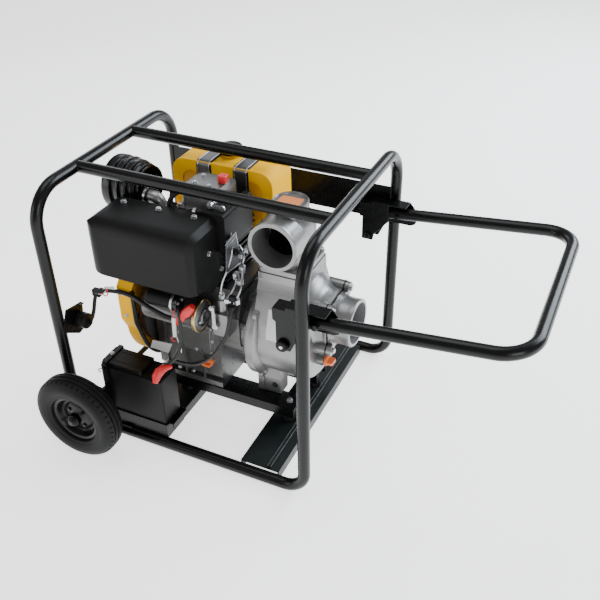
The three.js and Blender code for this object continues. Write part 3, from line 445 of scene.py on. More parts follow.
def bent(corners, radii, steps=10):
    """Straight runs joined by arcs of the given radii, as points."""
    points = [Vector(c) for c in corners]
    path = [points[0]]
    for i in range(1, len(points) - 1):
        before = (points[i] - points[i - 1]).normalized()
        after = (points[i + 1] - points[i]).normalized()
        turn = before.angle(after)
        start = points[i] - before * (radii[i] * math.tan(turn / 2))
        axis = before.cross(after).normalized()
        centre = start + axis.cross(before) * radii[i]
        for k in range(steps + 1):
            path.append(centre + Matrix.Rotation(turn * k / steps, 3, axis) @ (start - centre))
    path.append(points[-1])
    return path


def flowing(points, steps=6):
    """A smooth curve through the points."""
    p = [Vector(q) for q in points]
    p = [p[0] * 2 - p[1]] + p + [p[-1] * 2 - p[-2]]
    path = []
    for i in range(1, len(p) - 2):
        for k in range(steps):
            t = k / steps
            a, b, c, d = p[i - 1], p[i], p[i + 1], p[i + 2]
            bend = 2 * a - 5 * b + 4 * c - d
            twist = 3 * b - a - 3 * c + d
            path.append(b + 0.5 * t * ((c - a) + t * (bend + t * twist)))
    path.append(p[-2])
    return path


def swept(name, path, radius, sides=16, closed=False):
    """A round bar along a path. The radius is one number or one for each point."""
    path = [Vector(p) for p in path]
    n = len(path)
    radii = radius if isinstance(radius, list) else [radius] * n
    ahead = [(path[(i + 1) % n] if closed or i < n - 1 else path[i]) for i in range(n)]
    behind = [(path[i - 1] if closed or i > 0 else path[i]) for i in range(n)]
    tangents = [(f - g).normalized() for f, g in zip(ahead, behind)]
    across = tangents[0].orthogonal().normalized()
    points = []
    for i, tangent in enumerate(tangents):
        across = (across - tangent * across.dot(tangent)).normalized()
        other = tangent.cross(across)
        for k in range(sides):
            angle = 2 * math.pi * k / sides
            points.append(path[i] + (across * math.cos(angle) + other * math.sin(angle)) * radii[i])
    faces = [(i * sides + k, i * sides + (k + 1) % sides, (i + 1) % n * sides + (k + 1) % sides,
              (i + 1) % n * sides + k) for i in range(n if closed else n - 1) for k in range(sides) ]
    if not closed:
        faces += [list(range(sides)), list(range((n - 1) * sides, n * sides))]
    return new_piece(name, points, faces)


print("sweeping ready")

# %% [markdown]
# Joining and cutting use the Boolean modifier, applied at once. A bevel then breaks every sharp edge,
# because it is the bright line along an edge that makes metal look like metal.

# %% Joining, cutting and softening


def settle(piece):
    """Applies the piece's modifiers."""
    bpy.context.view_layer.update()
    made = bpy.data.meshes.new_from_object(piece.evaluated_get(bpy.context.evaluated_depsgraph_get()))
    piece.modifiers.clear()
    piece.data = made
    return piece


def boolean(operation, piece, tools):
    for tool in tools:
        modifier = piece.modifiers.new(operation, "BOOLEAN")
        modifier.operation = operation
        modifier.solver = "MANIFOLD"
        modifier.object = tool
    settle(piece)
    if not piece.data.polygons:
        raise RuntimeError(f"{piece.name}: nothing is left after {operation}")
    for tool in tools:
        bpy.data.objects.remove(tool)
    return piece


def fuse(name, *pieces):
    """Joins solids into one skin."""
    pieces[0].name = name
    return boolean("UNION", pieces[0], pieces[1:])


def carve(piece, *tools):
    return boolean("DIFFERENCE", piece, tools)


def gather(name, pieces):
    """Puts separate solids into one object, each still a skin of its own."""
    points, faces = [], []
    for piece in pieces:
        first = len(points)
        points += [(v.co - ZERO) / MM for v in piece.data.vertices]
        faces += [[first + k for k in face.vertices] for face in piece.data.polygons]
        bpy.data.objects.remove(piece)
    return new_piece(name, points, faces)


def soften(piece, width, segments=2, angle=32):
    """Smooth shading, with edges sharper than the angle bevelled to this width in millimetres."""
    piece.data.shade_smooth()
    if width:
        bevel = piece.modifiers.new("edges", "BEVEL")
        bevel.width = width * MM
        bevel.segments = segments
        bevel.limit_method = "ANGLE"
        bevel.angle_limit = math.radians(angle)
        bevel.harden_normals = True
        bevel.use_clamp_overlap = True
    else:
        piece.data.set_sharp_from_angle(angle=math.radians(angle))
    return piece


def place(piece, finish, body="frame", slot=None, stands_for=()):
    """Gives a piece its finish and its body, and hides the solids it stands for. The slot is not used."""
    piece.data.materials.clear()
    piece.data.materials.append(finish.material)
    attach(piece, body)
    if stands_for:
        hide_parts(*stands_for)
    return piece


def dress(node, finish, width, segments=2):
    """A solid that keeps its shape: flat faces are merged, edges softened, and the finish put on."""
    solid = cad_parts[node]
    merge = solid.modifiers.new("flat faces", "DECIMATE")
    merge.decimate_type = "DISSOLVE"
    merge.angle_limit = math.radians(1)
    soften(solid, width, segments)
    solid.data.materials.clear()
    solid.data.materials.append(finish.material)
    return solid


print("joining, cutting and softening ready")

# %% [markdown]
# Bolts are everywhere on an engine. One function makes a set of them: a washer, a hexagon head with a
# rounded top, all facing the same way.

# %% Bolts


def bolt_set(name, axis, places, size, outward=1, finish=None, body="frame", hexagon=True):
    """Bolt heads of this thread size, at (first, second, along) places; they stand up along the axis."""
    finish = finish or zinc
    heads = []
    for first, second, along in places:
        w, h = size * 0.16, size * 0.66
        washer = [(0, along), (size * 1.05, along), (size * 1.05, along + outward * w),
                  (0, along + outward * w)]
        heads.append(turned("washer", axis, (first, second), washer, 24))
        base = along + outward * w
        head = [(0, base), (size * 0.9, base), (size * 0.9, base + outward * h * 0.8),
                (size * 0.72, base + outward * h), (0, base + outward * h)]
        heads.append(turned("head", axis, (first, second), head, 6 if hexagon else 24))
    made = gather(name, heads)
    soften(made, 0.35 if size > 6 else 0.2, 1)
    return place(made, finish, body)


print("bolts ready")

# %% [markdown]
# ## Tube frame
# Each hoop is one tube bent four times. Modelled as a path with arcs and a round section, its highlight runs
# on without a break. The rails butt against the hoops and are welded, so each end has a small rippled bead.

# %% Hoops and rails
TOP_BEND, BOTTOM_BEND = 92, 58
RAILS = {"front_top_rail": 179, "back_top_rail": 424}


def hoop(name, x, mid):
    corners = [(mid, 0, 0), (x, 0, 0), (x, 0, FRAME_H), (x, FRAME_W, FRAME_H), (x, FRAME_W, 0),
               (mid, FRAME_W, 0)]
    path = bent(corners, [0, BOTTOM_BEND, TOP_BEND, TOP_BEND, BOTTOM_BEND, 0])
    return soften(swept(name, path, TUBE_R, 32), 0)


place(hoop("left_hoop_tube", 0, FRAME_L / 2), black_paint, slot="black_paint", stands_for=["left_hoop"])
place(hoop("right_hoop_tube", FRAME_L, FRAME_L / 2), black_paint, slot="black_paint",
      stands_for=["right_hoop"])


def weld_bead(y, x, outward):
    """A rippled ring where a rail meets a hoop's round side."""
    steps, ripples, thick = 96, 24, 1.7
    path, radii = [], []
    for k in range(steps):
        angle = 2 * math.pi * k / steps
        out = math.sqrt(TUBE_R ** 2 - (0.86 * TUBE_R * math.sin(angle)) ** 2)
        path.append((x + outward * out, y + TUBE_R * math.cos(angle),
                     FRAME_H + 0.86 * TUBE_R * math.sin(angle)))
        radii.append(thick * (1 + 0.18 * math.cos(ripples * angle)))
    return swept("bead", path, radii, 8, closed=True)


for node, y in RAILS.items():
    rail = swept(node + "_tube", [(8, y, FRAME_H), (FRAME_L - 8, y, FRAME_H)], TUBE_R, 32)
    place(soften(rail, 0), black_paint, slot="black_paint", stands_for=[node])
beads = [weld_bead(y, x, out) for y in RAILS.values() for x, out in [(0, 1), (FRAME_L, -1)]]
place(soften(gather("rail_weld_beads", beads), 0, angle=60), black_paint)
print("frame tubes:", len(RAILS), "rails,", len(beads), "weld beads")

# %% [markdown]
# The cross members, the two engine beams and the back panel are folded from sheet. The solids have the right
# folds, so they keep their shape and only get soft edges. Rubber mounts sit between them; each is a waisted
# barrel with a steel washer and a nut.

# %% Cross members, beams and mounts
for node in ("left_cross_member", "right_cross_member", "front_beam", "back_beam", "back_panel"):
    dress(node, channel_paint if "cross" in node else black_paint, 1.2)
dress("axle", black_paint, 0.8)

MOUNTS = [(name, *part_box(name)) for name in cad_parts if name.startswith("mount_")]
nuts = []
for name, low, high in MOUNTS:
    centre = ((low + high) / 2 - ZERO) / MM
    z0, z1 = (low.z - ZERO.z) / MM, (high.z - ZERO.z) / MM
    barrel = [(0, z0), (21, z0), (21, z0 + 4), (17.5, z0 + 10), (17, z0 + 18), (18, z0 + 26),
              (16.5, z0 + 32), (15, z0 + 33), (15, z1), (0, z1)]
    mount = turned(name + "_rubber", "z", (centre.x, centre.y), barrel, 40)
    place(soften(mount, 0.8), rubber, slot="rubber", stands_for=[name])
    nuts.append((centre.x, centre.y, 75.2))
bolt_set("mount_nuts", "z", nuts, 9, finish=zinc)
print("mounts:", len(MOUNTS))

# %% [markdown]
# ## Wheels
# A tyre is a turned section with a flatter tread, three grooves round it and cross cuts at the shoulders.
# The rim is pressed from two dishes; its centre holds a hub, a washer and the end of the axle.

# %% Wheels
WHEEL_R, WHEEL_W, TYRE_BORE = 125, 70, 70
WHEEL_X, WHEEL_Z = 97, 109
WHEEL_OUT = 130
LUGS = 44


def tyre_section(y, out):
    """Half the section from the bead to the middle of the tread, mirrored for the other half."""
    half = WHEEL_W / 2
    outer = [(TYRE_BORE, half - 14), (TYRE_BORE + 2, half - 8), (TYRE_BORE + 8, half - 5),
             (TYRE_BORE + 11, half - 4), (TYRE_BORE + 12, half - 2.6), (TYRE_BORE + 15, half - 2.6),
             (TYRE_BORE + 17, half - 1.6), (WHEEL_R - 28, half - 0.2), (WHEEL_R - 20, half - 1.2),
             (WHEEL_R - 13, half - 4.5), (WHEEL_R - 10, half - 7), (WHEEL_R - 5, half - 11),
             (WHEEL_R - 1.6, half - 17), (WHEEL_R - 0.6, half - 20), (WHEEL_R - 3.6, half - 21),
             (WHEEL_R - 3.6, half - 24), (WHEEL_R - 0.2, half - 25), (WHEEL_R, half - 31),
             (WHEEL_R - 3.4, half - 32), (WHEEL_R - 3.4, 0)]
    section = [(r, y + out * d) for r, d in outer]
    section += [(r, y - out * d) for r, d in reversed(outer[:-1])]
    return section + section[:1]


def rim_section(y, out):
    half = WHEEL_W / 2
    seat = TYRE_BORE - 0.3
    points = [(8.3, half - 6), (15, half - 6), (17, half - 8), (17, 14), (22, 11), (30, 10), (38, 7),
              (46, 1), (52, 1), (56, 6), (58, half - 22), (61, half - 17), (66, half - 15),
              (seat, half - 15.5), (seat, 15.5 - half), (66, 15 - half), (61, 17 - half), (58, 22 - half),
              (54, -2), (20, 2), (17, -14), (17, 8 - half), (15, 6 - half), (8.3, 6 - half), (8.3, half - 6)]
    return [(r, y + out * d) for r, d in points]


def wheel(side, body, y, out):
    tyre = turned(side + "_tyre_tread", "y", (WHEEL_X, WHEEL_Z), tyre_section(y, out), 96)
    cuts = []
    for k in range(LUGS):
        turn = Matrix.Rotation(2 * math.pi * k / LUGS, 3, "Y")
        for end in (-1, 1):
            cut = block(-1.3, 1.3, end * 17, end * 31, WHEEL_R - 7, WHEEL_R + 4)
            for vertex in cut.data.vertices:
                shifted = turn @ ((vertex.co - ZERO) / MM) + Vector((WHEEL_X, y, WHEEL_Z))
                vertex.co = spot(*shifted)
            cuts.append(cut)
    carve(tyre, gather("shoulder_cuts", cuts))
    place(soften(tyre, 0, angle=38), tyre_rubber, body, "tyre", [side + "_tyre"])
    rim = turned(side + "_rim_pressing", "y", (WHEEL_X, WHEEL_Z), rim_section(y, out), 72)
    place(soften(rim, 0.8), black_paint, body, "black_paint", [side + "_rim"])
    ring = [(WHEEL_X + 30 * math.cos(a), WHEEL_Z + 30 * math.sin(a), y + out * 9.6)
            for a in (math.pi / 4 + k * math.pi / 2 for k in range(4))]
    bolt_set(side + "_rim_bolts", "y", ring, 6, out, black_paint, body)


wheel("front", "front_wheel", -(WHEEL_OUT - WHEEL_W / 2), -1)
wheel("back", "back_wheel", FRAME_W + WHEEL_OUT - WHEEL_W / 2, 1)
caps = []
for edge, out in ((-WHEEL_OUT, -1), (FRAME_W + WHEEL_OUT, 1)):
    cap = [(0, edge - out * 7.5), (15, edge - out * 7.5), (15, edge - out * 4), (11, edge + out * 1),
           (8, edge + out * 3), (0, edge + out * 3.8)]
    caps.append(turned("cap", "y", (WHEEL_X, WHEEL_Z), cap, 32))
place(soften(gather("axle_end_caps", caps), 0.6), black_plastic)
print("wheels: 2 with", LUGS, "shoulder cuts a side")

# %% [markdown]
# ## Folding handle
# One bent tube, held between two bracket plates at each end by a pin, with a clamp knob below. The plates
# that face the camera stop short, so the tube is seen in front of the others. The knob is a moulded disc
# with a grip edge and a bright screw in the middle.

# %% Handle and brackets
HANDLE_R, HANDLE_BEND = 16, 78
PIVOT = (738, 518)
HANDLE_END_X = 1205.9
TILT = math.radians(5.7)
ARM_Y = 36
KNOB = (658, 444)


def along_handle(distance, y):
    return (PIVOT[0] + distance * math.cos(TILT), y, PIVOT[1] + distance * math.sin(TILT))


reach = (HANDLE_END_X - PIVOT[0]) / math.cos(TILT)
corners = [along_handle(d, y) for d, y in ((-22, ARM_Y), (reach, ARM_Y), (reach, FRAME_W - ARM_Y),
                                           (-22, FRAME_W - ARM_Y))]
bar = swept("handle_tube", bent(corners, [0, HANDLE_BEND, HANDLE_BEND, 0], 14), HANDLE_R, 32)
place(soften(bar, 0), black_paint, "carry_handle", "black_paint", ["handle"])

SHEET_THICK = 3
FULL_CHEEK = [(640, 428), (676, 428), (692, 462), (706, 478), (768, 478), (781, 484), (786, 496), (786, 522),
              (764, 549), (668, 549), (664, 541), (632, 541), (632, 510), (640, 504)]
OPEN_CHEEK = [(640, 428), (676, 428), (692, 462), (700, 470), (700, 549), (668, 549), (664, 541), (632, 541),
              (632, 510), (640, 504)]
TAB_CHEEK = [(640, 430), (672, 430), (676, 452), (694, 470), (715, 498), (715, 549), (668, 549), (664, 541),
             (632, 541), (632, 500), (640, 500)]
for side, near in (("front", True), ("back", False)):
    outer, inner = (16.3, 53) if near else (FRAME_W - 16.3, FRAME_W - 53)
    out = -1 if near else 1
    outer_cheek = prism("cheek", "xz", OPEN_CHEEK if near else FULL_CHEEK, outer, outer - out * SHEET_THICK)
    inner_cheek = prism("cheek", "xz", FULL_CHEEK if near else TAB_CHEEK, inner, inner - out * SHEET_THICK)
    low, high = sorted((outer, inner - out * SHEET_THICK))
    roof = [block(664, 764, low, high, 546, 549), block(632, 668, low, high, 538, 541)]
    pin = turned("pin", "y", PIVOT, [(0, outer + out * 6), (8, outer + out * 6), (8, outer), (6, outer),
                                     (6, inner - out * 8), (0, inner - out * 8)], 24)
    bracket = fuse(side + "_handle_bracket_plates", outer_cheek, inner_cheek, *roof, pin)
    place(soften(bracket, 0.8), black_paint, slot="black_paint", stands_for=[side + "_handle_bracket"])
    grips = 10
    disc = turned("disc", "y", KNOB, [(0, outer + out * 13), (9, outer + out * 13), (12.5, outer + out * 12),
                                      (15, outer + out * 9), (15, outer + out * 4), (11, outer + out * 0.4),
                                      (0, outer + out * 0.4)], 60)
    notches = [rod("y", (KNOB[0] + 16.4 * math.cos(a), KNOB[1] + 16.4 * math.sin(a)), outer - 16, outer + 16,
                   2.4, 12) for a in (2 * math.pi * k / grips for k in range(grips))]
    knob = carve(disc, *notches)
    knob.name = side + "_clamp_knob"
    place(soften(knob, 0.5), black_plastic, side + "_knob", "rubber", [side + "_lock_knob"])
    screw = [(0, outer + out * 13.8), (4, outer + out * 13.6), (5, outer + out * 12.6),
             (5, outer + out * 10), (0, outer + out * 10)]
    place(soften(turned(side + "_knob_screw", "y", KNOB, screw, 24), 0.3), zinc, side + "_knob")
    nut = [(0, inner - out * 3.4), (9, inner - out * 3.4), (9, inner - out * 9), (7.5, inner - out * 10),
           (0, inner - out * 10)]
    place(soften(turned(side + "_knob_nut", "y", KNOB, nut, 6), 0.5), black_paint, side + "_knob")
print("handle reach", round(reach), "mm, knobs 2")

# %% [markdown]
# ## Battery and key switch
# The battery is a plain black case with a lid, a moulded rib near the top and two posts. It stands in a tray
# and a hooked strap holds it down.

# %% Battery
b0, b1 = (((corner - ZERO) / MM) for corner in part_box("battery"))
mid_y = (b0.y + b1.y) / 2
case = prism("case", "xy", rounded((b0.x + b1.x) / 2, mid_y, b1.x - b0.x, b1.y - b0.y, 5), b0.z, 205)
lid = prism("lid", "xy", rounded(b0.x + 68, mid_y, 126, 68, 6), 204, 222)
rim = prism("rim", "xy", rounded((b0.x + b1.x) / 2, mid_y, b1.x - b0.x - 0.6, b1.y - b0.y - 0.6, 5), 205,
            208)
ledge = prism("ledge", "xy", rounded(266, mid_y, 62, 66, 4), 207, 213)
battery = fuse("battery_case", case, rim, lid, ledge)
grooves = [block(b0.x - 2, b0.x + 128, y, y + 1.6, 220.8, 223) for y in (mid_y - 20, mid_y + 18)]
carve(battery, *grooves)
place(soften(battery, 0.9), black_plastic, slot="black_plastic", stands_for=["battery"])
posts = [turned("post", "z", at, [(0, 212), (9, 212), (7.5, 222), (6, 224), (0, 225)], 24)
         for at in ((276, 27), (276, 66))]
place(soften(gather("battery_posts", posts), 0.4), zinc)
dress("battery_tray", black_paint, 0.9)
dress("battery_hold_down", black_paint, 0.7)
bolt_set("hold_down_bolt", "z", [(125, 44, 225.4)], 6)
hook = flowing([(112, -1.5, 190), (110, -4, 196), (112, -6.5, 203), (118, -6, 208), (124, -4, 206)])
place(soften(swept("hold_down_hook", hook, 1.6, 10), 0), zinc)
print("battery case", [round(v) for v in (b1 - b0)], "mm")

# %% [markdown]
# The switch stands on a cranked plate behind the left upright. Its body is a short turned drum with a bezel;
# the key's grip stands across the barrel, and turns with it.

# %% Key switch
KEY = (55, 305)
dress("key_switch_bracket", black_paint, 0.8)
drum = turned("key_drum", "x", KEY, [(0, 20), (19, 20), (22, 23), (22, 36), (20.5, 37), (20.5, 40), (22, 41),
                                     (22, 50), (20, 53), (16, 54), (0, 54)], 48)
carve(drum, rod("x", KEY, 40, 55, 10, 32))
place(soften(drum, 0.6), black_plastic, slot="black_plastic", stands_for=["key_switch"])
barrel = turned("barrel", "x", KEY, [(0, 40.5), (9, 40.5), (9, 54.5), (8, 56), (0, 56)], 32)
grip = prism("grip", "xz", rounded(59.5, KEY[1], 8, 16, 3.5), KEY[0] - 1.6, KEY[0] + 1.6)
place(soften(fuse("key_barrel_and_grip", barrel, grip), 0.4), black_plastic, "key_barrel", "steel",
      ["ignition_barrel"])
print("key switch ready")

# %% [markdown]
# ## Engine
# The crankcase and its end cover are castings with clear edges, so the solids stay and get soft edges. What
# makes them read as an engine is what is bolted on: a side cover with a ring of screws, ribs and plugs.

# %% Crankcase and covers
for node in ("crankcase", "gear_case_cover"):
    dress(node, grey_cast, 2.2)
CASE_Y = AXIS_Y - 105
side_cover = prism("cover", "xz", rounded(300, 236, 120, 96, 18), CASE_Y - 4.5, CASE_Y + 2)
panel_edge = prism("panel", "xz", rounded(300, 236, 96, 72, 12), CASE_Y - 7, CASE_Y)
place(soften(fuse("side_cover", side_cover, panel_edge), 1.5), cast_aluminium)
screws = ([(x, z, CASE_Y - 4.5) for x in (248, 300, 352) for z in (194, 278)]
          + [(247, 236, CASE_Y - 4.5), (353, 236, CASE_Y - 4.5)])
bolt_set("side_cover_screws", "y", screws, 5, -1)
bolt_set("sump_screws", "y", [(x, 106, CASE_Y - 0.2) for x in (192, 236, 280)], 5.5, -1)
cover_ring = [(AXIS_Y + 98 * math.cos(a), AXIS_Z + 98 * math.sin(a), 462)
              for a in (math.pi / 4 * (k + 0.5) for k in range(8))]
bolt_set("gear_cover_screws", "x", cover_ring, 7, 1)
bead = turned("filler_ring", "y", (339, 161), [(14.5, CASE_Y - 3), (18, CASE_Y - 3), (19, CASE_Y),
                                               (14.5, CASE_Y), (14.5, CASE_Y - 3)], 40)
place(soften(bead, 0), grey_cast)
ribs = [block(x, x + 3.5, CASE_Y - 5, CASE_Y + 1, 300, 330) for x in (186, 206, 398, 412, 426)]
ribs.append(block(176, 436, CASE_Y - 3, CASE_Y + 1, 330, 334))
place(soften(gather("case_ribs", ribs), 0.8), grey_cast)
print("crankcase dressed,", len(screws), "side screws")

# %% [markdown]
# The dipstick's grip is a flat orange moulding on a round collar. It is joined from a turned form and a
# rounded plate, and slides out with the stick.

# %% Oil dipstick
collar = turned("collar", "y", (339, 161), [(0, CASE_Y - 15), (9, CASE_Y - 15), (12, CASE_Y - 13),
                                            (13, CASE_Y - 9), (13, CASE_Y - 0.4), (6, CASE_Y - 0.3),
                                            (6, CASE_Y + 55), (0, CASE_Y + 56)], 40)
wing = prism("wing", "xz", rounded(339, 161, 25.6, 7, 3), CASE_Y - 25, CASE_Y - 12)
place(soften(fuse("dipstick_grip", collar, wing), 0.8), orange_plastic, "dipstick", "orange_plastic",
      ["oil_dipstick"])
print("dipstick ready")

# %% [markdown]
# Cooling fins are thin plates with rounded edges. The solids' fins are right in number and pitch; a bevel on
# each edge is enough. The rocker cover is a rounded casting held by bolts, with a red cap on its oiler.

# %% Cylinder, head and rocker cover
dress("cylinder", heat_black, 1.4)
dress("cylinder_head", heat_black, 1.6)
HEAD = (318, 296)
flange = prism("flange", "xy", rounded(*HEAD, 136, 124, 16), 600.4, 609)
dome = prism("dome", "xy", rounded(*HEAD, 118, 106, 22, 12), 607, 657)
crown = prism("crown", "xy", rounded(*HEAD, 96, 84, 20, 12), 655, 665)
lever_boss = rod("y", (360, 638), 234, 252, 11)
oiler = rod("z", (356, 306), 655, 672, 10)
cover = fuse("rocker_cover_casting", flange, dome, crown, lever_boss, oiler)
place(soften(cover, 4.5, 4), cast_aluminium, slot="cast_aluminium", stands_for=["rocker_cover"])
bolt_set("rocker_cover_bolts", "z",
         [(HEAD[0] + sx * 58, HEAD[1] + sy * 52, 608.6) for sx in (-1, 1) for sy in (-1, 1)], 8)
bolt_set("crown_bolts", "z", [(290, 276, 664.6), (290, 318, 664.6), (334, 272, 664.6)], 7)
red_cap = prism("oiler_cap", "xy", rounded(356, 306, 23, 23, 4), 666, 686)
place(soften(red_cap, 2.2, 3), red_rubber)
lever = prism("arm", "xz", rounded(379, 638, 46, 10, 4.8), 223.2, 226.8)
hub = turned("hub", "y", (360, 638), [(0, 222), (7, 222), (9, 224), (9, 233.6), (0, 233.6)], 32)
ball = rod("y", (396, 638), 222.6, 227.4, 7.5)
place(soften(fuse("decompression_lever_arm", hub, lever, ball), 0.8), zinc, "decompressor", "steel",
      ["decompression_lever"])
print("cylinder, head and rocker cover ready")

# %% [markdown]
# The cowl is a yellow pressing. Its free edge is bound with a black rubber strip, and a band of black tape
# with the harness crosses it.

# %% Cowl
dress("fan_cowl", yellow_paint, 3.0, 3)
strip = []
for k in range(49):
    angle = math.radians(198) + math.radians(144) * k / 48
    strip.append((165.5, AXIS_Y + 166 * math.cos(angle), AXIS_Z + 166 * math.sin(angle)))
edge_band = swept("cowl_edge_strip", [(165.5, AXIS_Y - 183, 396), (165.5, AXIS_Y - 183, 296), *strip,
                                      (165.5, AXIS_Y + 183, 296), (165.5, AXIS_Y + 183, 396)], 6.2, 14)
place(soften(edge_band, 0), rubber)
bolt_set("cowl_screws", "y", [(136, 380, AXIS_Y - 182), (136, 310, AXIS_Y - 182)], 6, -1)
print("cowl ready")

# %% [markdown]
# The starter is a drum with a plated rim and an end cap, a solenoid above it and a cast nose that bolts to
# the crankcase. Its parts are turned, because each ring and step on them is round.

# %% Starter motor
STARTER, SOLENOID = (146, 352), (111, 403)
drum = turned("drum", "x", STARTER, [(0, 190), (34, 190), (38, 194), (40, 202), (40, 246), (39, 247),
                                     (39, 250), (40, 251), (40, 350), (0, 350)], 64)
nose = prism("nose", "xz", rounded(210, 352, 40, 42, 8), 150, CASE_Y - 0.3)
web = block(232, 290, 118, 142, 366, 400)
place(soften(fuse("starter_drum", drum, nose, web), 1.6), grey_cast, slot="grey_cast",
      stands_for=["starter_motor"])
rim = [(38, 349), (41, 349), (45, 352), (45, 359), (43.5, 361), (41, 359), (38, 359), (38, 349)]
place(soften(turned("starter_rim", "x", STARTER, rim, 64), 0.5), gold_zinc)
end_cap = [(0, 350), (38.4, 350), (38.4, 359), (33, 363), (26, 364), (25, 361), (20, 361), (19, 366),
           (16, 369), (13, 369), (12, 364), (0, 364)]
place(soften(turned("starter_end_cap", "x", STARTER, end_cap, 64), 0.5), grey_cast)
bolt_set("starter_through_bolts", "x",
         [(STARTER[0] - 27, STARTER[1], 367.6), (STARTER[0] + 27, STARTER[1], 367.6)], 5)
body = turned("solenoid_body", "x", SOLENOID, [(0, 222), (18, 222), (22, 227), (22, 300), (0, 300)], 48)
place(soften(body, 0.8), heat_black)
lip = turned("solenoid_ring", "x", SOLENOID, [(0, 299), (24.5, 299), (27, 301), (27, 305), (25, 306.5),
                                              (0, 306.5)], 48)
place(soften(lip, 0.5), zinc)
cap = turned("solenoid_cap", "x", SOLENOID, [(0, 306), (24, 306), (24, 314), (21, 318), (0, 318)], 40)
place(soften(cap, 0.8), gloss_plastic)
bolt_set("solenoid_terminals", "x",
         [(SOLENOID[0] - 10, SOLENOID[1] + 6, 317.6), (SOLENOID[0] + 10, SOLENOID[1] + 6, 317.6)], 5, 1)
print("starter ready")

# %% [markdown]
# The injection pump keeps its solid. The speed lever is a flat arm on a turned hub, and the thick-walled
# pipe to the injector climbs in one easy curve from its union.

# %% Injection pump, speed lever and injector pipe
dress("injection_pump", cast_aluminium, 1.6)
lever_hub = turned("hub", "y", (396, 330), [(0, 139.6), (7, 139.6), (9, 141), (9, 145.6), (0, 145.6)], 32)
arm = prism("arm", "xz", [(390.6, 330), (401.4, 330), (399.5, 394), (392.5, 394)], 140, 143)
knob = turned("knob", "y", (396, 394), [(0, 130), (5, 130), (8, 132.5), (8, 139), (6, 143), (0, 143)], 32)
place(soften(fuse("speed_lever_arm", lever_hub, arm, knob), 0.6), zinc, "throttle", "steel", ["speed_lever"])
pipe = flowing([(407, 172, 414), (407, 172, 432), (410, 176, 455), (418, 190, 486), (421, 212, 520),
                (414, 228, 552), (404, 240, 570), (398, 248, 578)])
place(soften(swept("injector_pipe", pipe, 3.2, 12), 0), zinc)
union = turned("injector_pipe_union", "z", (407, 172),
               [(0, 402), (9, 402), (9, 418), (6, 421), (6, 428), (0, 428)], 6)
place(soften(union, 0.6), zinc)
print("injection pump ready")

# %% [markdown]
# ## Exhaust side
# The heat shield is the largest black shape in view. It is pressed from one sheet, so it is made as a solid
# with round corners from three sides, opened at the back and underneath, and given the sheet's thickness.

# %% Heat shield


def eased(points, radii, steps=6):
    """A closed outline with its corners rounded to the given radii."""
    outline = []
    n = len(points)
    for i, radius in enumerate(radii):
        before, here, after = (Vector((*points[(i + k) % n], 0)) for k in (-1, 0, 1))
        if radius == 0:
            outline.append(points[i])
            continue
        start = here.lerp(before, radius / (before - here).length)
        stop = here.lerp(after, radius / (after - here).length)
        for k in range(steps + 1):
            t = k / steps
            p = start * (1 - t) ** 2 + here * 2 * t * (1 - t) + stop * t ** 2
            outline.append((p.x, p.y))
    return outline


SX0, SX1, SY0, SY1, SZ0, SZ1 = 63, 388, 75, 212, 458, 618
SHEET, FACET = 2.5, 15
TOP_ROUND, LEFT_ROUND, BACK_ROUND, LOW_ROUND = 46, 62, 46, 40


def shield_section(inset):
    """The side view: a flat front, a big bend to the top, and open at the back and below."""
    corners = [(SY0 + inset, SZ0), (SY0 + inset, SZ1 - inset), (SY1, SZ1 - inset), (SY1, SZ0)]
    return eased(corners, [0, TOP_ROUND - inset * 0.6, 0, 0], 10)


middle = prism("middle", "yz", shield_section(0), SX0, SX1 - FACET)
facet = prism("facet", "yz", shield_section(0), SX1 - FACET, SX1, shield_section(FACET))
shield = fuse("heat_shield_pressing", middle, facet)
plan = eased([(SX0, SY0), (SX1 + 1, SY0), (SX1 + 1, SY1 + 1), (SX0, SY1 + 1)],
             [LEFT_ROUND, 0, 0, BACK_ROUND], 12)
front = eased([(SX0, SZ0 - 1), (SX1 + 1, SZ0 - 1), (SX1 + 1, SZ1 + 1), (SX0, SZ1 + 1)],
              [LOW_ROUND, 0, 0, LEFT_ROUND], 12)
boolean("INTERSECT", shield,
        [prism("plan", "xy", plan, SZ0 - 2, SZ1 + 2), prism("front", "xz", front, SY0 - 2, SY1 + 2)])
shape = bmesh.new()
shape.from_mesh(shield.data)
back_y, under_z = spot(0, SY1, 0).y, spot(0, 0, SZ0).z
opened = [f for f in shape.faces if f.calc_center_median().y > back_y - 0.5 * MM
          or (f.normal.z < -0.95 and f.calc_center_median().z < under_z + 1 * MM)]
bmesh.ops.delete(shape, geom=opened, context="FACES")
bmesh.ops.dissolve_limit(shape, angle_limit=math.radians(0.5), verts=shape.verts, edges=shape.edges)
shape.to_mesh(shield.data)
shape.free()
sheet = shield.modifiers.new("sheet", "SOLIDIFY")
sheet.thickness = SHEET * MM
sheet.offset = -1
settle(shield)
place(soften(shield, 1.6, 3, 30), heat_black, slot="black_wrinkle", stands_for=["heat_shield"])
bolt_set("shield_top_screws", "z", [(x, 188, SZ1 - 0.2) for x in (125, 231, 335)], 8, 1, zinc, hexagon=False)
end_plate = eased([(94, 474), (92, 590), (112, 603), (200, 603), (231, 590), (243, 436), (206, 436),
                   (158, 424)], [12, 14, 8, 10, 16, 8, 8, 20])
place(soften(prism("shield_end_plate", "yz", end_plate, SX1 - 2, SX1 + 1), 0.9), heat_black)
bolt_set("shield_end_screws", "x", [(156, 544, SX1 + 0.8), (207, 471, SX1 + 0.8)], 7, 1, zinc, hexagon=False)
lip = fuse("shield_back_lip", block(SX0 + 40, SX1 - 12, SY1 - 7, SY1 + 1.5, SZ1 - 6, SZ1 - 3))
place(soften(lip, 0.8), heat_black)
print("heat shield", SX1 - SX0, "mm long, sheet", SHEET, "mm")

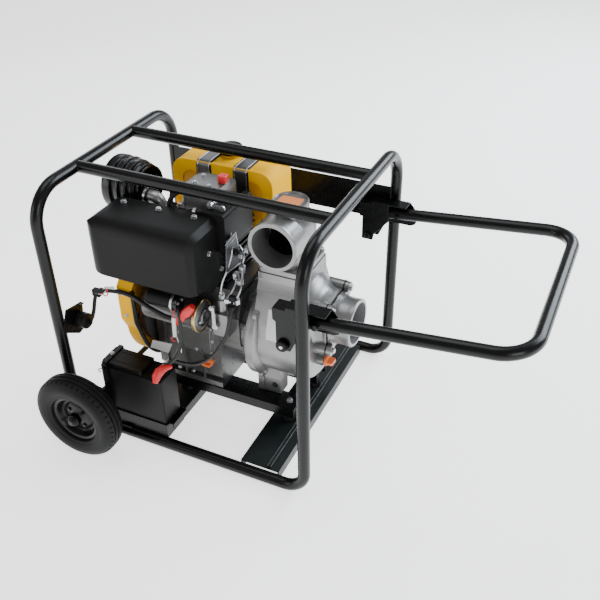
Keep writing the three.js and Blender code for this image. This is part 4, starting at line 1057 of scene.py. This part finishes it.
# %% [markdown]
# The silencer hides behind the shield: a rounded box with rolled seams at both ends, a short neck to the
# head and a tail pipe underneath, all joined into one skin.

# %% Silencer
MUFFLER_MIDDLE, MUFFLER_SIZE, SEAM_OUT = (149, 535), (110, 138), 4
box_body = prism("box", "yz", rounded(*MUFFLER_MIDDLE, *MUFFLER_SIZE, 34, 10), 104, 364)
seam_size = [side + SEAM_OUT for side in MUFFLER_SIZE]
seams = [prism("seam", "yz", rounded(*MUFFLER_MIDDLE, *seam_size, 36, 10), x, x + 5) for x in (102, 361)]
neck = rod("y", (308, 552), 200, 208.7, 24)
tail = turned("tail", "z", (200, 150), [(13, 438), (16, 438), (16, 470), (13, 470), (13, 438)], 40)
place(soften(fuse("silencer_box", box_body, *seams, neck, tail), 1.2), heat_black, slot="black_wrinkle",
      stands_for=["muffler"])
print("silencer ready")

# %% [markdown]
# ## Air side
# The air cleaner is a glossy ribbed drum; the wing nut that holds its lid is not modelled. A cast elbow
# leads from it to the head, with a rubber sleeve and a clamp.

# %% Air cleaner and intake
CLEANER = (296, 610)
ribbed = [(0, 22), (58, 22), (66, 24), (72, 27.5), (75, 32), (76, 36)]
for x, radius in ((55, 76), (80, 75), (103, 71), (124, 64)):
    ribbed += [(radius, x - 3), (radius - 0.5, x), (radius - 8, x + 2.5), (radius - 9, x + 4),
               (radius - 9, x + 9), (radius - 8, x + 10.5), (radius - 4, x + 12)]
drum = turned("air_cleaner_drum", "x", CLEANER, ribbed, 72)
place(soften(drum, 0.7), gloss_plastic, slot="gloss_black_plastic", stands_for=["air_cleaner"])
INTAKE_R, INTAKE_HIGH, INTAKE_LOW = 18, (262, 606), (262, 572)
pipe = bent([(138.3, *INTAKE_HIGH), (176, *INTAKE_HIGH), (196, *INTAKE_LOW), (221.7, *INTAKE_LOW)],
            [0, 17, 17, 0], 8)
elbow = fuse("intake_elbow", swept("elbow", pipe, INTAKE_R, 32), rod("x", INTAKE_LOW, 210, 221.7, 27))
place(soften(elbow, 1.2), cast_aluminium, slot="cast_aluminium", stands_for=["intake_pipe"])
sleeve = turned("intake_sleeve", "x", INTAKE_HIGH,
                [(18.2, 140), (21, 140), (22, 143), (22, 156), (18.2, 156), (18.2, 140)], 32)
place(soften(sleeve, 0.6), rubber)
clamp = turned("intake_clamp", "x", INTAKE_HIGH, [(22.1, 146), (23.4, 146), (23.4, 152), (22.1, 152),
                                                  (22.1, 146)], 32)
place(soften(clamp, 0.2), zinc)
bolt_set("intake_bolts", "x", [(262 + side * 21, 572, 209.8) for side in (-1, 1)], 6, -1)
breather = flowing([(280, 262, 652), (262, 238, 650), (244, 226, 632), (236, 224, 606), (222, 228, 594),
                    (200, 236, 604)])
place(soften(swept("breather_hose", breather, 6, 16), 0), rubber)
print("air side ready")

# %% [markdown]
# ## Fuel tank
# Two deep pressings joined at the middle. The front one has a sunk panel, painted a darker amber as painted
# shade because it faces away from the light. Two steel straps with turned edges hold the tank, on rubber
# strips.

# %% Tank
t0, t1 = (((corner - ZERO) / MM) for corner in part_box("fuel_tank"))
TANK_TOP, PANEL_INSET = 657, 31
mid_x, mid_z = (t0.x + t1.x) / 2, (t0.z + TANK_TOP) / 2
wide, high = t1.x - t0.x, TANK_TOP - t0.z
body = prism("body", "xz", rounded(mid_x, mid_z, wide, high, 40, 10), t0.y, t1.y)
pocket = prism("pocket", "xz", rounded(mid_x, mid_z, wide - 2 * PANEL_INSET, high - 2 * PANEL_INSET, 30, 10),
               t0.y - 5, t0.y + 3.5)
FILLER = (284, 476)
neck = turned("neck", "z", FILLER, [(0, 640), (22, 640), (22, 659), (20, 661), (20, 665), (0, 665)], 40)
tank = carve(fuse("fuel_tank_pressing", body, neck), pocket)
place(soften(tank, 11, 5, 50), yellow_paint, slot="yellow_paint", stands_for=["fuel_tank"])
# The sunk front panel gets the darker amber: painted shade for a face turned away from the light.
inset = prism("tank_front_panel", "xz",
              rounded(mid_x, mid_z, wide - 2 * PANEL_INSET - 4, high - 2 * PANEL_INSET - 4, 28, 10),
              t0.y + 1.6, t0.y + 4.2)
place(soften(inset, 2.0, 3), shaded_yellow_paint)
STRAPS = {"tank_strap_left": 219, "tank_strap_right": 332}
STRAP_WIDE = 38
mid_y, deep = (t0.y + t1.y) / 2, t1.y - t0.y


def band(x, width, inside, outside):
    """A loop round the tank, between two distances from its skin."""
    outer = prism("band", "yz", rounded(mid_y, mid_z, deep + 2 * outside, high + 2 * outside, 11 + outside),
                  x, x + width)
    inner = prism("hole", "yz", rounded(mid_y, mid_z, deep + 2 * inside, high + 2 * inside, 11 + inside),
                  x - 1, x + width + 1)
    return carve(outer, inner)


strap_grey = plated("strap_steel", (0.20, 0.20, 0.21, 1), 0.34)
edges, pads = [], []
for node, x in STRAPS.items():
    leg = block(x, x + STRAP_WIDE, 402.4, 411, 250, t0.z - 1)
    strap = fuse(node + "_band", band(x, STRAP_WIDE, 0.3, 3.2), leg)
    place(soften(strap, 0.6), strap_grey, slot="black_paint", stands_for=[node])
    edges += [band(x, 3, 2.9, 4.2), band(x + STRAP_WIDE - 3, 3, 2.9, 4.2)]
    pads.append(band(x - 4, STRAP_WIDE + 8, -0.2, 1.6))
place(soften(gather("strap_edges", edges), 0.5), zinc)
place(soften(gather("strap_rubbers", pads), 0.5), rubber)
cap_profile = [(0, 647), (15, 647), (15, 665.4), (31, 665.4), (33, 668), (33, 682), (31, 684.5), (26, 686),
               (0, 686)]
tank_cap = turned("tank_cap_moulding", "z", FILLER, cap_profile, 72)
flutes = [rod("z", (FILLER[0] + 34.6 * math.cos(a), FILLER[1] + 34.6 * math.sin(a)), 664, 681, 2.6, 10)
          for a in (2 * math.pi * k / 18 for k in range(18))]
carve(tank_cap, *flutes)
place(soften(tank_cap, 0.8), black_plastic, "tank_cap", "black_plastic", ["fuel_cap"])
hose = flowing([(440, 430, 482), (444, 424, 462), (446, 400, 430), (448, 340, 424), (446, 262, 414),
                (442, 214, 404), (436, 192, 380), (430, 184, 362), (424, 176, 352)])
place(soften(swept("fuel_hose", hose, 4.2, 14), 0), rubber)
print("tank ready,", len(STRAPS), "straps")

# %% [markdown]
# ## Pump
# The pump is the brightest part: a round casing with a tower that carries the discharge elbow, and a suction
# flange with four ears. All of it is blasted aluminium, so the forms are joined into single skins and every
# edge is broken. Black gaskets show as thin lines at the joints.

# %% Casing
SHAFT = (AXIS_Y, AXIS_Z)
SUCTION_Z = 339
SUCTION = (AXIS_Y, SUCTION_Z)
DRAIN = (250, 228)
X0, X1 = 489.3, 642
FOOT_UNDER = 75.3
RING_R, BARREL_R = 146, 125
TOWER_TOP = 479.7
EARS = [(AXIS_Y + sy * 60, SUCTION_Z + sz * 62) for sy in (-1, 1) for sz in (-1, 1)]

barrel = turned("barrel", "x", SHAFT, [(0, X0), (RING_R, X0), (RING_R, X0 + 8), (RING_R - 3, X0 + 11),
                                       (BARREL_R + 1, X0 + 16), (BARREL_R, X0 + 20), (BARREL_R, X1 - 22),
                                       (BARREL_R - 5, X1 - 9), (BARREL_R - 16, X1 - 1), (BARREL_R - 24, X1),
                                       (0, X1)], 96)
tower_outline = [(AXIS_Y - 124, AXIS_Z), (AXIS_Y - 119, 330), (AXIS_Y - 92, 408), (223, 446),
                 (223, TOWER_TOP), (371, TOWER_TOP), (371, 446), (AXIS_Y + 92, 408), (AXIS_Y + 119, 330),
                 (AXIS_Y + 124, AXIS_Z)]
TOWER_ROUNDING = [0, 24, 30, 14, 0, 0, 14, 30, 24, 0]
tower = prism("tower", "yz", eased(tower_outline, TOWER_ROUNDING), X0, 614)
ELBOW_SEAT = (550, AXIS_Y, 128, 150, 14)
collar = prism("collar", "xy", rounded(*ELBOW_SEAT), 463, TOWER_TOP)
boss = turned("boss", "x", SUCTION, [(0, 598), (112, 600), (110, 612), (103, 626), (92, 638), (84, 644),
                                     (80, 652), (76, 668), (0, 668)], 72)
pad = prism("pad", "yz", rounded(*SUCTION, 130, 134, 34), 630, 674)
ear_posts = [rod("x", at, 618, 674, 17) for at in EARS]
lobe_angles = [math.radians(degrees) for degrees in (58, 122, 138, 232, 308)]
lobes = [rod("x", (AXIS_Y + 138 * math.cos(a), AXIS_Z + 138 * math.sin(a)), X0, X0 + 11, 15)
         for a in lobe_angles]
FOOT_OUT, FOOT_IN = 66, 20
feet = [prism("foot", "yz",
              eased([(AXIS_Y + s * FOOT_IN, FOOT_UNDER), (AXIS_Y + s * FOOT_OUT, FOOT_UNDER),
                     (AXIS_Y + s * FOOT_OUT, 190), (AXIS_Y + s * FOOT_IN, 190)], [4, 4, 0, 0]), X0, 538)
                     for s in (-1, 1)]
webs = [block(490, 546, AXIS_Y + s * 72 - 8, AXIS_Y + s * 72 + 8, 140, 190) for s in (-1, 1)]
drain_boss = rod("x", DRAIN, 626, 664, 17)
ridge = prism("ridge", "yz", [(213, 428), (210.5, 432), (223, 456), (371, 456), (383.5, 432), (381, 428)],
              X0, 606)
casing = fuse("pump_casing_shell", barrel, tower, collar, boss, pad, *ear_posts, *feet, *webs, drain_boss,
              ridge, *lobes)
carve(casing, rod("x", SHAFT, X0 + 12, X1 - 12, BARREL_R - 12, 72),
      block(X0 + 12, 600, 236, 358, AXIS_Z, 481), rod("x", SHAFT, X0 - 2, X0 + 14, 21),
      rod("x", SUCTION, 628, 676, 56, 72), rod("x", DRAIN, 622, 665, 10),
      rod("y", (520, 104), 150, 248, 10, 32), rod("y", (520, 104), 346, 440, 10, 32))
place(soften(casing, 2.2, 3), cast_aluminium, slot="cast_aluminium", stands_for=["pump_casing"])
ring_bolts = [(AXIS_Y + 137 * math.cos(a), AXIS_Z + 137 * math.sin(a), X0 + 10.4) for a in lobe_angles]
bolt_set("ring_bolts", "x", ring_bolts, 7, 1)
print("casing joined,", len(ring_bolts), "ring bolts")

# %% [markdown]
# A round flange with a foot joins the pump to the engine. It is turned, joined with the foot and bored for
# the shaft; its nuts face the engine.

# %% Mounting flange behind the casing
flange = turned("flange", "x", SHAFT, [(0, 466.3), (104, 466.3), (140, 471), (145, 474), (RING_R, 477),
                                       (RING_R, 489), (0, 489)], 96)
foot = prism("foot", "yz", eased([(228, FOOT_UNDER), (366, FOOT_UNDER), (366, 160), (228, 160)],
                                 [5, 5, 0, 0]), 470.3, 489)
plate = fuse("pump_flange_casting", flange, foot)
carve(plate, rod("x", SHAFT, 465, 490, 21))
place(soften(plate, 1.8), cast_aluminium, slot="cast_aluminium", stands_for=["pump_flange"])
studs = [(AXIS_Y + 132 * math.cos(a), AXIS_Z + 132 * math.sin(a), 472)
         for a in (math.radians(d) for d in range(20, 380, 45))]
bolt_set("flange_nuts", "x", studs, 7, -1)
print("mounting flange ready")

# %% [markdown]
# The discharge elbow turns the water from upwards to the front. Its outside is a domed chamber with a socket
# and a neck for the priming cap; the bores are cut last so that they are true rounds.

# %% Discharge elbow
OUT_X, OUT_Y, OUT_Z, ELBOW_X, ELBOW_Y = 546, 194, 577, 550, 292
BORE_R, RIM_R = 56, 66
seat = prism("seat", "xy", rounded(*ELBOW_SEAT), 482.5, 496)
chamber = turned("chamber", "z", (ELBOW_X, ELBOW_Y),
                 [(0, 486), (62, 486), (63, 500), (64, 520), (65, 545), (65, 594), (63, 610), (58, 624),
                  (50, 634), (42, 640), (0, 641)], 96)
socket = [(0, OUT_Y), (65.5, OUT_Y), (RIM_R, OUT_Y + 1), (RIM_R, OUT_Y + 10), (65.5, OUT_Y + 13),
          (65, OUT_Y + 24), (65, OUT_Y + 44), (65, OUT_Y + 70), (65, ELBOW_Y), (0, ELBOW_Y)]
mouth = turned("mouth", "y", (OUT_X, OUT_Z), socket, 96)
primer_neck = turned("primer", "z", (555, 286), [(0, 620), (44, 620), (41, 640), (41, 652), (0, 652)], 64)
elbow = fuse("discharge_elbow_casting", seat, chamber, mouth, primer_neck)
carve(elbow, rod("z", (ELBOW_X, ELBOW_Y), 480, 606, BORE_R, 72),
      rod("y", (OUT_X, OUT_Z), OUT_Y - 2, ELBOW_Y, BORE_R, 96), rod("z", (555, 286), 598, 653, 30, 48))
place(soften(elbow, 2.0, 3), cast_aluminium, slot="cast_aluminium", stands_for=["discharge_elbow"])
lining = turned("discharge_lining", "y", (OUT_X, OUT_Z),
                [(55.6, OUT_Y + 3), (55.9, OUT_Y + 3), (55.9, 262), (55.6, 262), (55.6, OUT_Y + 3)], 96)
place(soften(lining, 0), bore_grey_and_fold_highlight)
# Painted shade: a near-black sheet just inside the chamber's bore, closed across its top, darkens the inside
# of the casting.
chamber_lining = turned("chamber_lining", "z", (ELBOW_X, ELBOW_Y),
                        [(55.5, 500), (55.9, 500), (55.9, 605.8), (0, 605.8), (0, 605.4), (55.5, 605.4),
                         (55.5, 500)], 96)
carve(chamber_lining, rod("y", (OUT_X, OUT_Z), 190, ELBOW_Y, 55.4, 96))
place(soften(chamber_lining, 0), bore_shade_cast)
top_gasket = prism("top_gasket", "xy", rounded(550, AXIS_Y, 130.5, 152.5, 15), 479.9, 482.3)
carve(top_gasket, rod("z", (ELBOW_X, ELBOW_Y), 478, 484, 57, 64))
place(soften(top_gasket, 0.4), rubber)
seat_bolts = [(550 + sx * 54, 297 + sy * 65, 495.8) for sx in (-1, 1) for sy in (-1, 1)]
bolt_set("elbow_bolts", "z", seat_bolts, 8)
print("discharge elbow ready, bore", 2 * BORE_R, "mm")

# %% [markdown]
# The priming cap is turned with a raised rim, and its grip is a ring of small scallops cut in the edge. A
# plain label covers most of its top. The drain plug is an orange moulding with a flat wing.

# %% Priming cap and drain plug
PRIMER = (555, 286)
cap = turned("priming_cap_casting", "z", PRIMER, [(0, 632), (29, 632), (29, 652.3), (43, 652.3), (46, 655.5),
                                                  (46, 664), (44.5, 667), (42.5, 667.3), (40.5, 665),
                                                  (39.5, 662), (0, 662)], 72)
scallops = [rod("z", (PRIMER[0] + 47.4 * math.cos(a), PRIMER[1] + 47.4 * math.sin(a)), 650, 670, 3.2, 16)
            for a in (2 * math.pi * k / 12 for k in range(12))]
carve(cap, *scallops)
place(soften(cap, 0.9), cast_aluminium, "primer_cap", "cast_aluminium", ["priming_cap"])
place(soften(prism("cap_label", "xy", rounded(553, 286, 60, 44, 5), 661.8, 662.5), 0), orange_film,
      "primer_cap")
plug = turned("plug", "x", DRAIN, [(0, 644), (9.7, 644), (9.7, 664.3), (13, 664.3), (15, 666), (15, 672),
                                   (13, 674), (0, 674)], 40)
wing = prism("wing", "xy", rounded(681, DRAIN[0], 19, 28, 5), DRAIN[1] - 4, DRAIN[1] + 4)
place(soften(fuse("drain_plug_moulding", plug, wing), 1.2), orange_plastic, "drain", "orange_plastic",
      ["drain_plug"])
print("cap and plug ready")

# %% [markdown]
# The suction flange carries a straight round socket on a rounded plate with four ears. A thin black gasket
# shows all round between it and the casing. Behind it hangs the non-return flap, a rubber disc on a hinge
# pin.

# %% Suction flange, gasket and flap
plate = prism("plate", "yz", rounded(*SUCTION, 122, 126, 32), 677, 689)
ears = [rod("x", at, 677, 690, 16) for at in EARS]
neck = turned("neck", "x", SUCTION, [(0, 680), (70, 680), (66, 692), (64.5, 698), (64.5, 722), (65, 724),
                                     (65, 734), (63.5, 736), (0, 736)], 96)
flange = carve(fuse("suction_flange_casting", plate, neck, *ears), rod("x", SUCTION, 676, 737, 56, 96))
place(soften(flange, 1.6, 3), cast_aluminium, slot="cast_aluminium", stands_for=["suction_flange"])
bolt_set("suction_bolts", "x", [(y, z, 689.8) for y, z in EARS], 9)
gasket = fuse("suction_gasket", prism("gasket", "yz", rounded(*SUCTION, 126, 130, 34), 674.2, 676.8),
              *[rod("x", at, 674.2, 676.8, 17.5) for at in EARS])
carve(gasket, rod("x", SUCTION, 673, 678, 57, 64))
place(soften(gasket, 0.4), rubber)
bore = turned("suction_lining", "x", SUCTION, [(55.6, 679), (55.9, 679), (55.9, 733), (55.6, 733),
                                               (55.6, 679)], 96)
place(soften(bore, 0), bore_grey_and_fold_highlight)
flap = turned("disc", "x", (AXIS_Y, 336), [(0, 668), (46, 668), (49, 669), (49, 672), (46, 673), (20, 673),
                                           (18, 675), (0, 675)], 64)
hinge = rod("y", (671, 387), AXIS_Y - 14, AXIS_Y + 14, 4, 24)
tab = block(668.4, 672.8, AXIS_Y - 10, AXIS_Y + 10, 370, 388)
place(soften(fuse("flap_valve", flap, tab, hinge), 0.6), rubber, "flap", "rubber", ["check_valve_flap"])
dress("impeller", cast_aluminium, 0.6)
dress("crankshaft", zinc, 0.6)
dress("flywheel_fan", grey_cast, 0.6)
print("suction side ready")

# %% [markdown]
# A plain blank label sits on the casing's front. It follows the bulge of the casting, so it is a strip laid
# along the tower's outline, a few tenths of a millimetre proud.

# %% Blank label
LABEL_X, LABEL_Z = (528, 577), (306, 388)
skin = [(u, v) for u, v in eased(tower_outline, TOWER_ROUNDING) if u < AXIS_Y]


def front_of_tower(z):
    """How far forward the tower's front skin is at a height."""
    for (y0, z0), (y1, z1) in zip(skin, skin[1:]):
        if z0 <= z <= z1:
            return y0 + (y1 - y0) * (z - z0) / (z1 - z0)
    return skin[0][0]


STEPS = 14
heights = [LABEL_Z[0] + (LABEL_Z[1] - LABEL_Z[0]) * k / STEPS for k in range(STEPS + 1)]
strip = [(front_of_tower(z) - 0.6, z) for z in heights] + [(front_of_tower(z) + 0.4, z)
                                                           for z in reversed(heights)]
place(soften(prism("casing_label", "yz", strip, *LABEL_X), 0, angle=60), label_film)
print("label", LABEL_X[1] - LABEL_X[0], "mm wide")

# %% [markdown]
# ## Leads and small fittings
# The thick battery leads are swept along the routes of the solids they stand for.

# %% Battery leads
LEAD_R = 5
STARTER_LEAD = [(318, 101, 402), (327, 88, 388), (332, 80, 345), (330, 74, 300), (318, 60, 262),
                (296, 40, 240), (286, 32, 236)]
GROUND_LEAD = [(448, 150, 402), (446, 138, 372), (436, 128, 320), (404, 122, 262), (366, 116, 222),
               (332, 104, 212), (306, 84, 226), (286, 72, 236)]
place(soften(swept("starter_lead", flowing(STARTER_LEAD), LEAD_R, 20), 0), cable_jacket, slot="cable_jacket",
      stands_for=["starter_cable"])
place(soften(swept("ground_lead", flowing(GROUND_LEAD), LEAD_R, 20), 0), cable_jacket, slot="cable_jacket",
      stands_for=["ground_cable"])
print("battery leads ready")

# %% [markdown]
# Coloured rubber boots cover the battery terminals and the starter's post. They are moulded sleeves, wider
# in the middle, so each is swept with a radius that changes along the way.

# %% Terminal boots and posts
STARTER_BOOT = [(366, 95, 417), (358, 94, 407), (346, 93, 393), (336, 92, 382), (326, 92, 368),
                (316, 93, 353)]
BATTERY_BOOT = [(310, 50, 238), (304, 40, 240), (298, 29, 241), (293, 18, 237), (290, 7, 228),
                (291, -3, 214)]
boots = [swept("boot", STARTER_BOOT, [8, 12, 13, 9, 11, 8], 12),
         swept("boot", BATTERY_BOOT, [6, 8, 11, 13, 12, 7], 12)]
place(soften(gather("red_boots", boots), 0, angle=40), red_rubber)
print("boots:", len(boots))

# %% [markdown]
# The harness leaves the key switch, meets a plug at the cowl and crosses it to the starter. Thin wires end
# in white tags. Free wires keep a gentle curve, because a tight one would break the strands.

# %% Harness, wires and tags
LOOM = [(62, 106, 374), (84, 106, 382), (109, 106, 388), (145, 106, 391), (178, 103, 389), (206, 96, 385),
        (236, 89, 380), (262, 85, 376), (286, 83, 372), (302, 84, 370)]
KEY_LEAD = [(38, 66, 290), (44, 78, 296), (44, 92, 314), (42, 104, 336), (44, 112, 354), (58, 108, 370)]
place(soften(gather("loom",
                    [swept("loom", flowing(LOOM), 6.4, 14), swept("key_lead", flowing(KEY_LEAD), 5.4, 14)]),
                    0), rubber)
plug = fuse("loom_plug", block(36, 60, 106, 122, 352, 372), block(58, 70, 108, 120, 362, 378))
place(soften(plug, 2.0, 2), black_plastic)
RED_WIRES = [[(72, 102, 374), (86, 100, 370), (95, 98, 374), (98, 98, 384), (96, 100, 394)],
             [(309, 92, 398), (312, 86, 386), (311, 84, 371)],
             [(303, 84, 310), (296, 86, 302), (295, 90, 292), (304, 94, 286)]]
wires = [swept("wire", flowing(route), 1.6, 8) for route in RED_WIRES]
place(soften(gather("red_wires", wires), 0), red_rubber)
tags = [prism("tag", "xz", [(68, 377), (86, 396), (118, 406), (122, 384), (96, 380)], 104, 105),
        prism("tag", "xz", [(305, 372), (317, 373), (314, 312), (303, 309)], 83, 86),
        prism("tag", "xz", [(200, 236), (263, 241), (248, 206), (190, 208)], 127, 130)]
place(soften(gather("blank_tags", tags), 0.4), white_tag)
WHITE_WIRES = [[(314, 84, 312), (318, 84, 296), (322, 86, 276), (318, 90, 258)],
               [(60, 104, 366), (78, 102, 372), (92, 100, 388)]]
place(soften(gather("white_wires", [swept("wire", flowing(route), 1.5, 8) for route in WHITE_WIRES]), 0),
      white_tag)
print("harness with", len(wires), "red wires and", len(tags), "blank tags")

# %% [markdown]
# Beside the head sit a black air shroud and a bracket plate with turned edges; behind them the fuel and
# injector lines climb to the head with their union nuts.

# %% Shroud, bracket plate and lines
side_shroud = prism("side", "xz", rounded(397, 574, 26, 108, 10), 206, 352)
front_shroud = prism("front", "xz", rounded(370, 582, 80, 92, 18), 206, 231)
place(soften(fuse("air_shroud", side_shroud, front_shroud), 5, 4), heat_black)
PLATE = [(191, 566), (238, 570), (254, 472), (180, 484)]
place(soften(prism("bracket_plate", "yz", PLATE, 419, 421.5), 0.5), strap_grey)
EDGES = [[(422, 184, 560), (422, 238, 570)], [(422, 187, 551), (422, 238, 561)],
         [(422, 180, 482), (422, 254, 470)], [(422, 238, 570), (422, 254, 472)]]
place(soften(gather("bracket_edges", [swept("edge", edge, 1.4, 10) for edge in EDGES]), 0), zinc)
place(soften(turned("bracket_knob", "x", (227, 518), [(0, 421), (9, 421), (9, 428), (6, 433), (0, 434)], 32),
             0.6), black_plastic)
LINES = [[(452, 168, 416), (458, 182, 440), (452, 204, 458), (440, 226, 470)],
         [(430, 160, 420), (438, 172, 436), (440, 190, 450), (430, 210, 458)],
         [(436, 236, 478), (440, 240, 496), (434, 246, 512), (420, 256, 520)]]
lines = [swept("line", flowing(route), 2.8, 12) for route in LINES]
place(soften(gather("fuel_lines", lines), 0), zinc)
NUTS = [((452, 168), 404, 420), ((430, 160), 408, 422), ((440, 228), 462, 482), ((430, 212), 450, 468),
        ((432, 242), 496, 512), ((448, 200), 444, 458), ((446, 250), 512, 526)]
nuts = [turned("nut", "z", at, [(0, a), (10, a), (10, b - 3), (7, b), (0, b)], 6) for at, a, b in NUTS]
place(soften(gather("union_nuts", nuts), 0.6), zinc)
# Painted highlight: thin pale grey rods along the cross member's folds stand for the light caught by the
# bends.
folds = [swept("fold", [(x, 18, z), (x, 602, z)], 0.45, 8) for x, z in ((600.6, 22), (610, 22))]
place(soften(gather("cross_member_fold_lines", folds), 0), bore_grey_and_fold_highlight)
clip = fuse("cable_clip", block(444, 462, 142, 154, 424, 440))
place(soften(clip, 1.5), black_plastic)
VENT_HOSE = [(240, 246, 652), (243, 230, 626), (256, 222, 606), (280, 220, 606), (304, 220, 614),
             (322, 219, 618), (340, 220, 613), (360, 226, 606), (376, 234, 600)]
place(soften(swept("vent_hoses", flowing(VENT_HOSE), 5.5, 14), 0), rubber)
ring = turned("hose_rings", "x", (219, 618), [(5.6, 316), (8.5, 316), (8.5, 324), (5.6, 324), (5.6, 316)],
              24)
place(soften(ring, 0.3), zinc)
print("lines ready,", len(nuts), "union nuts")
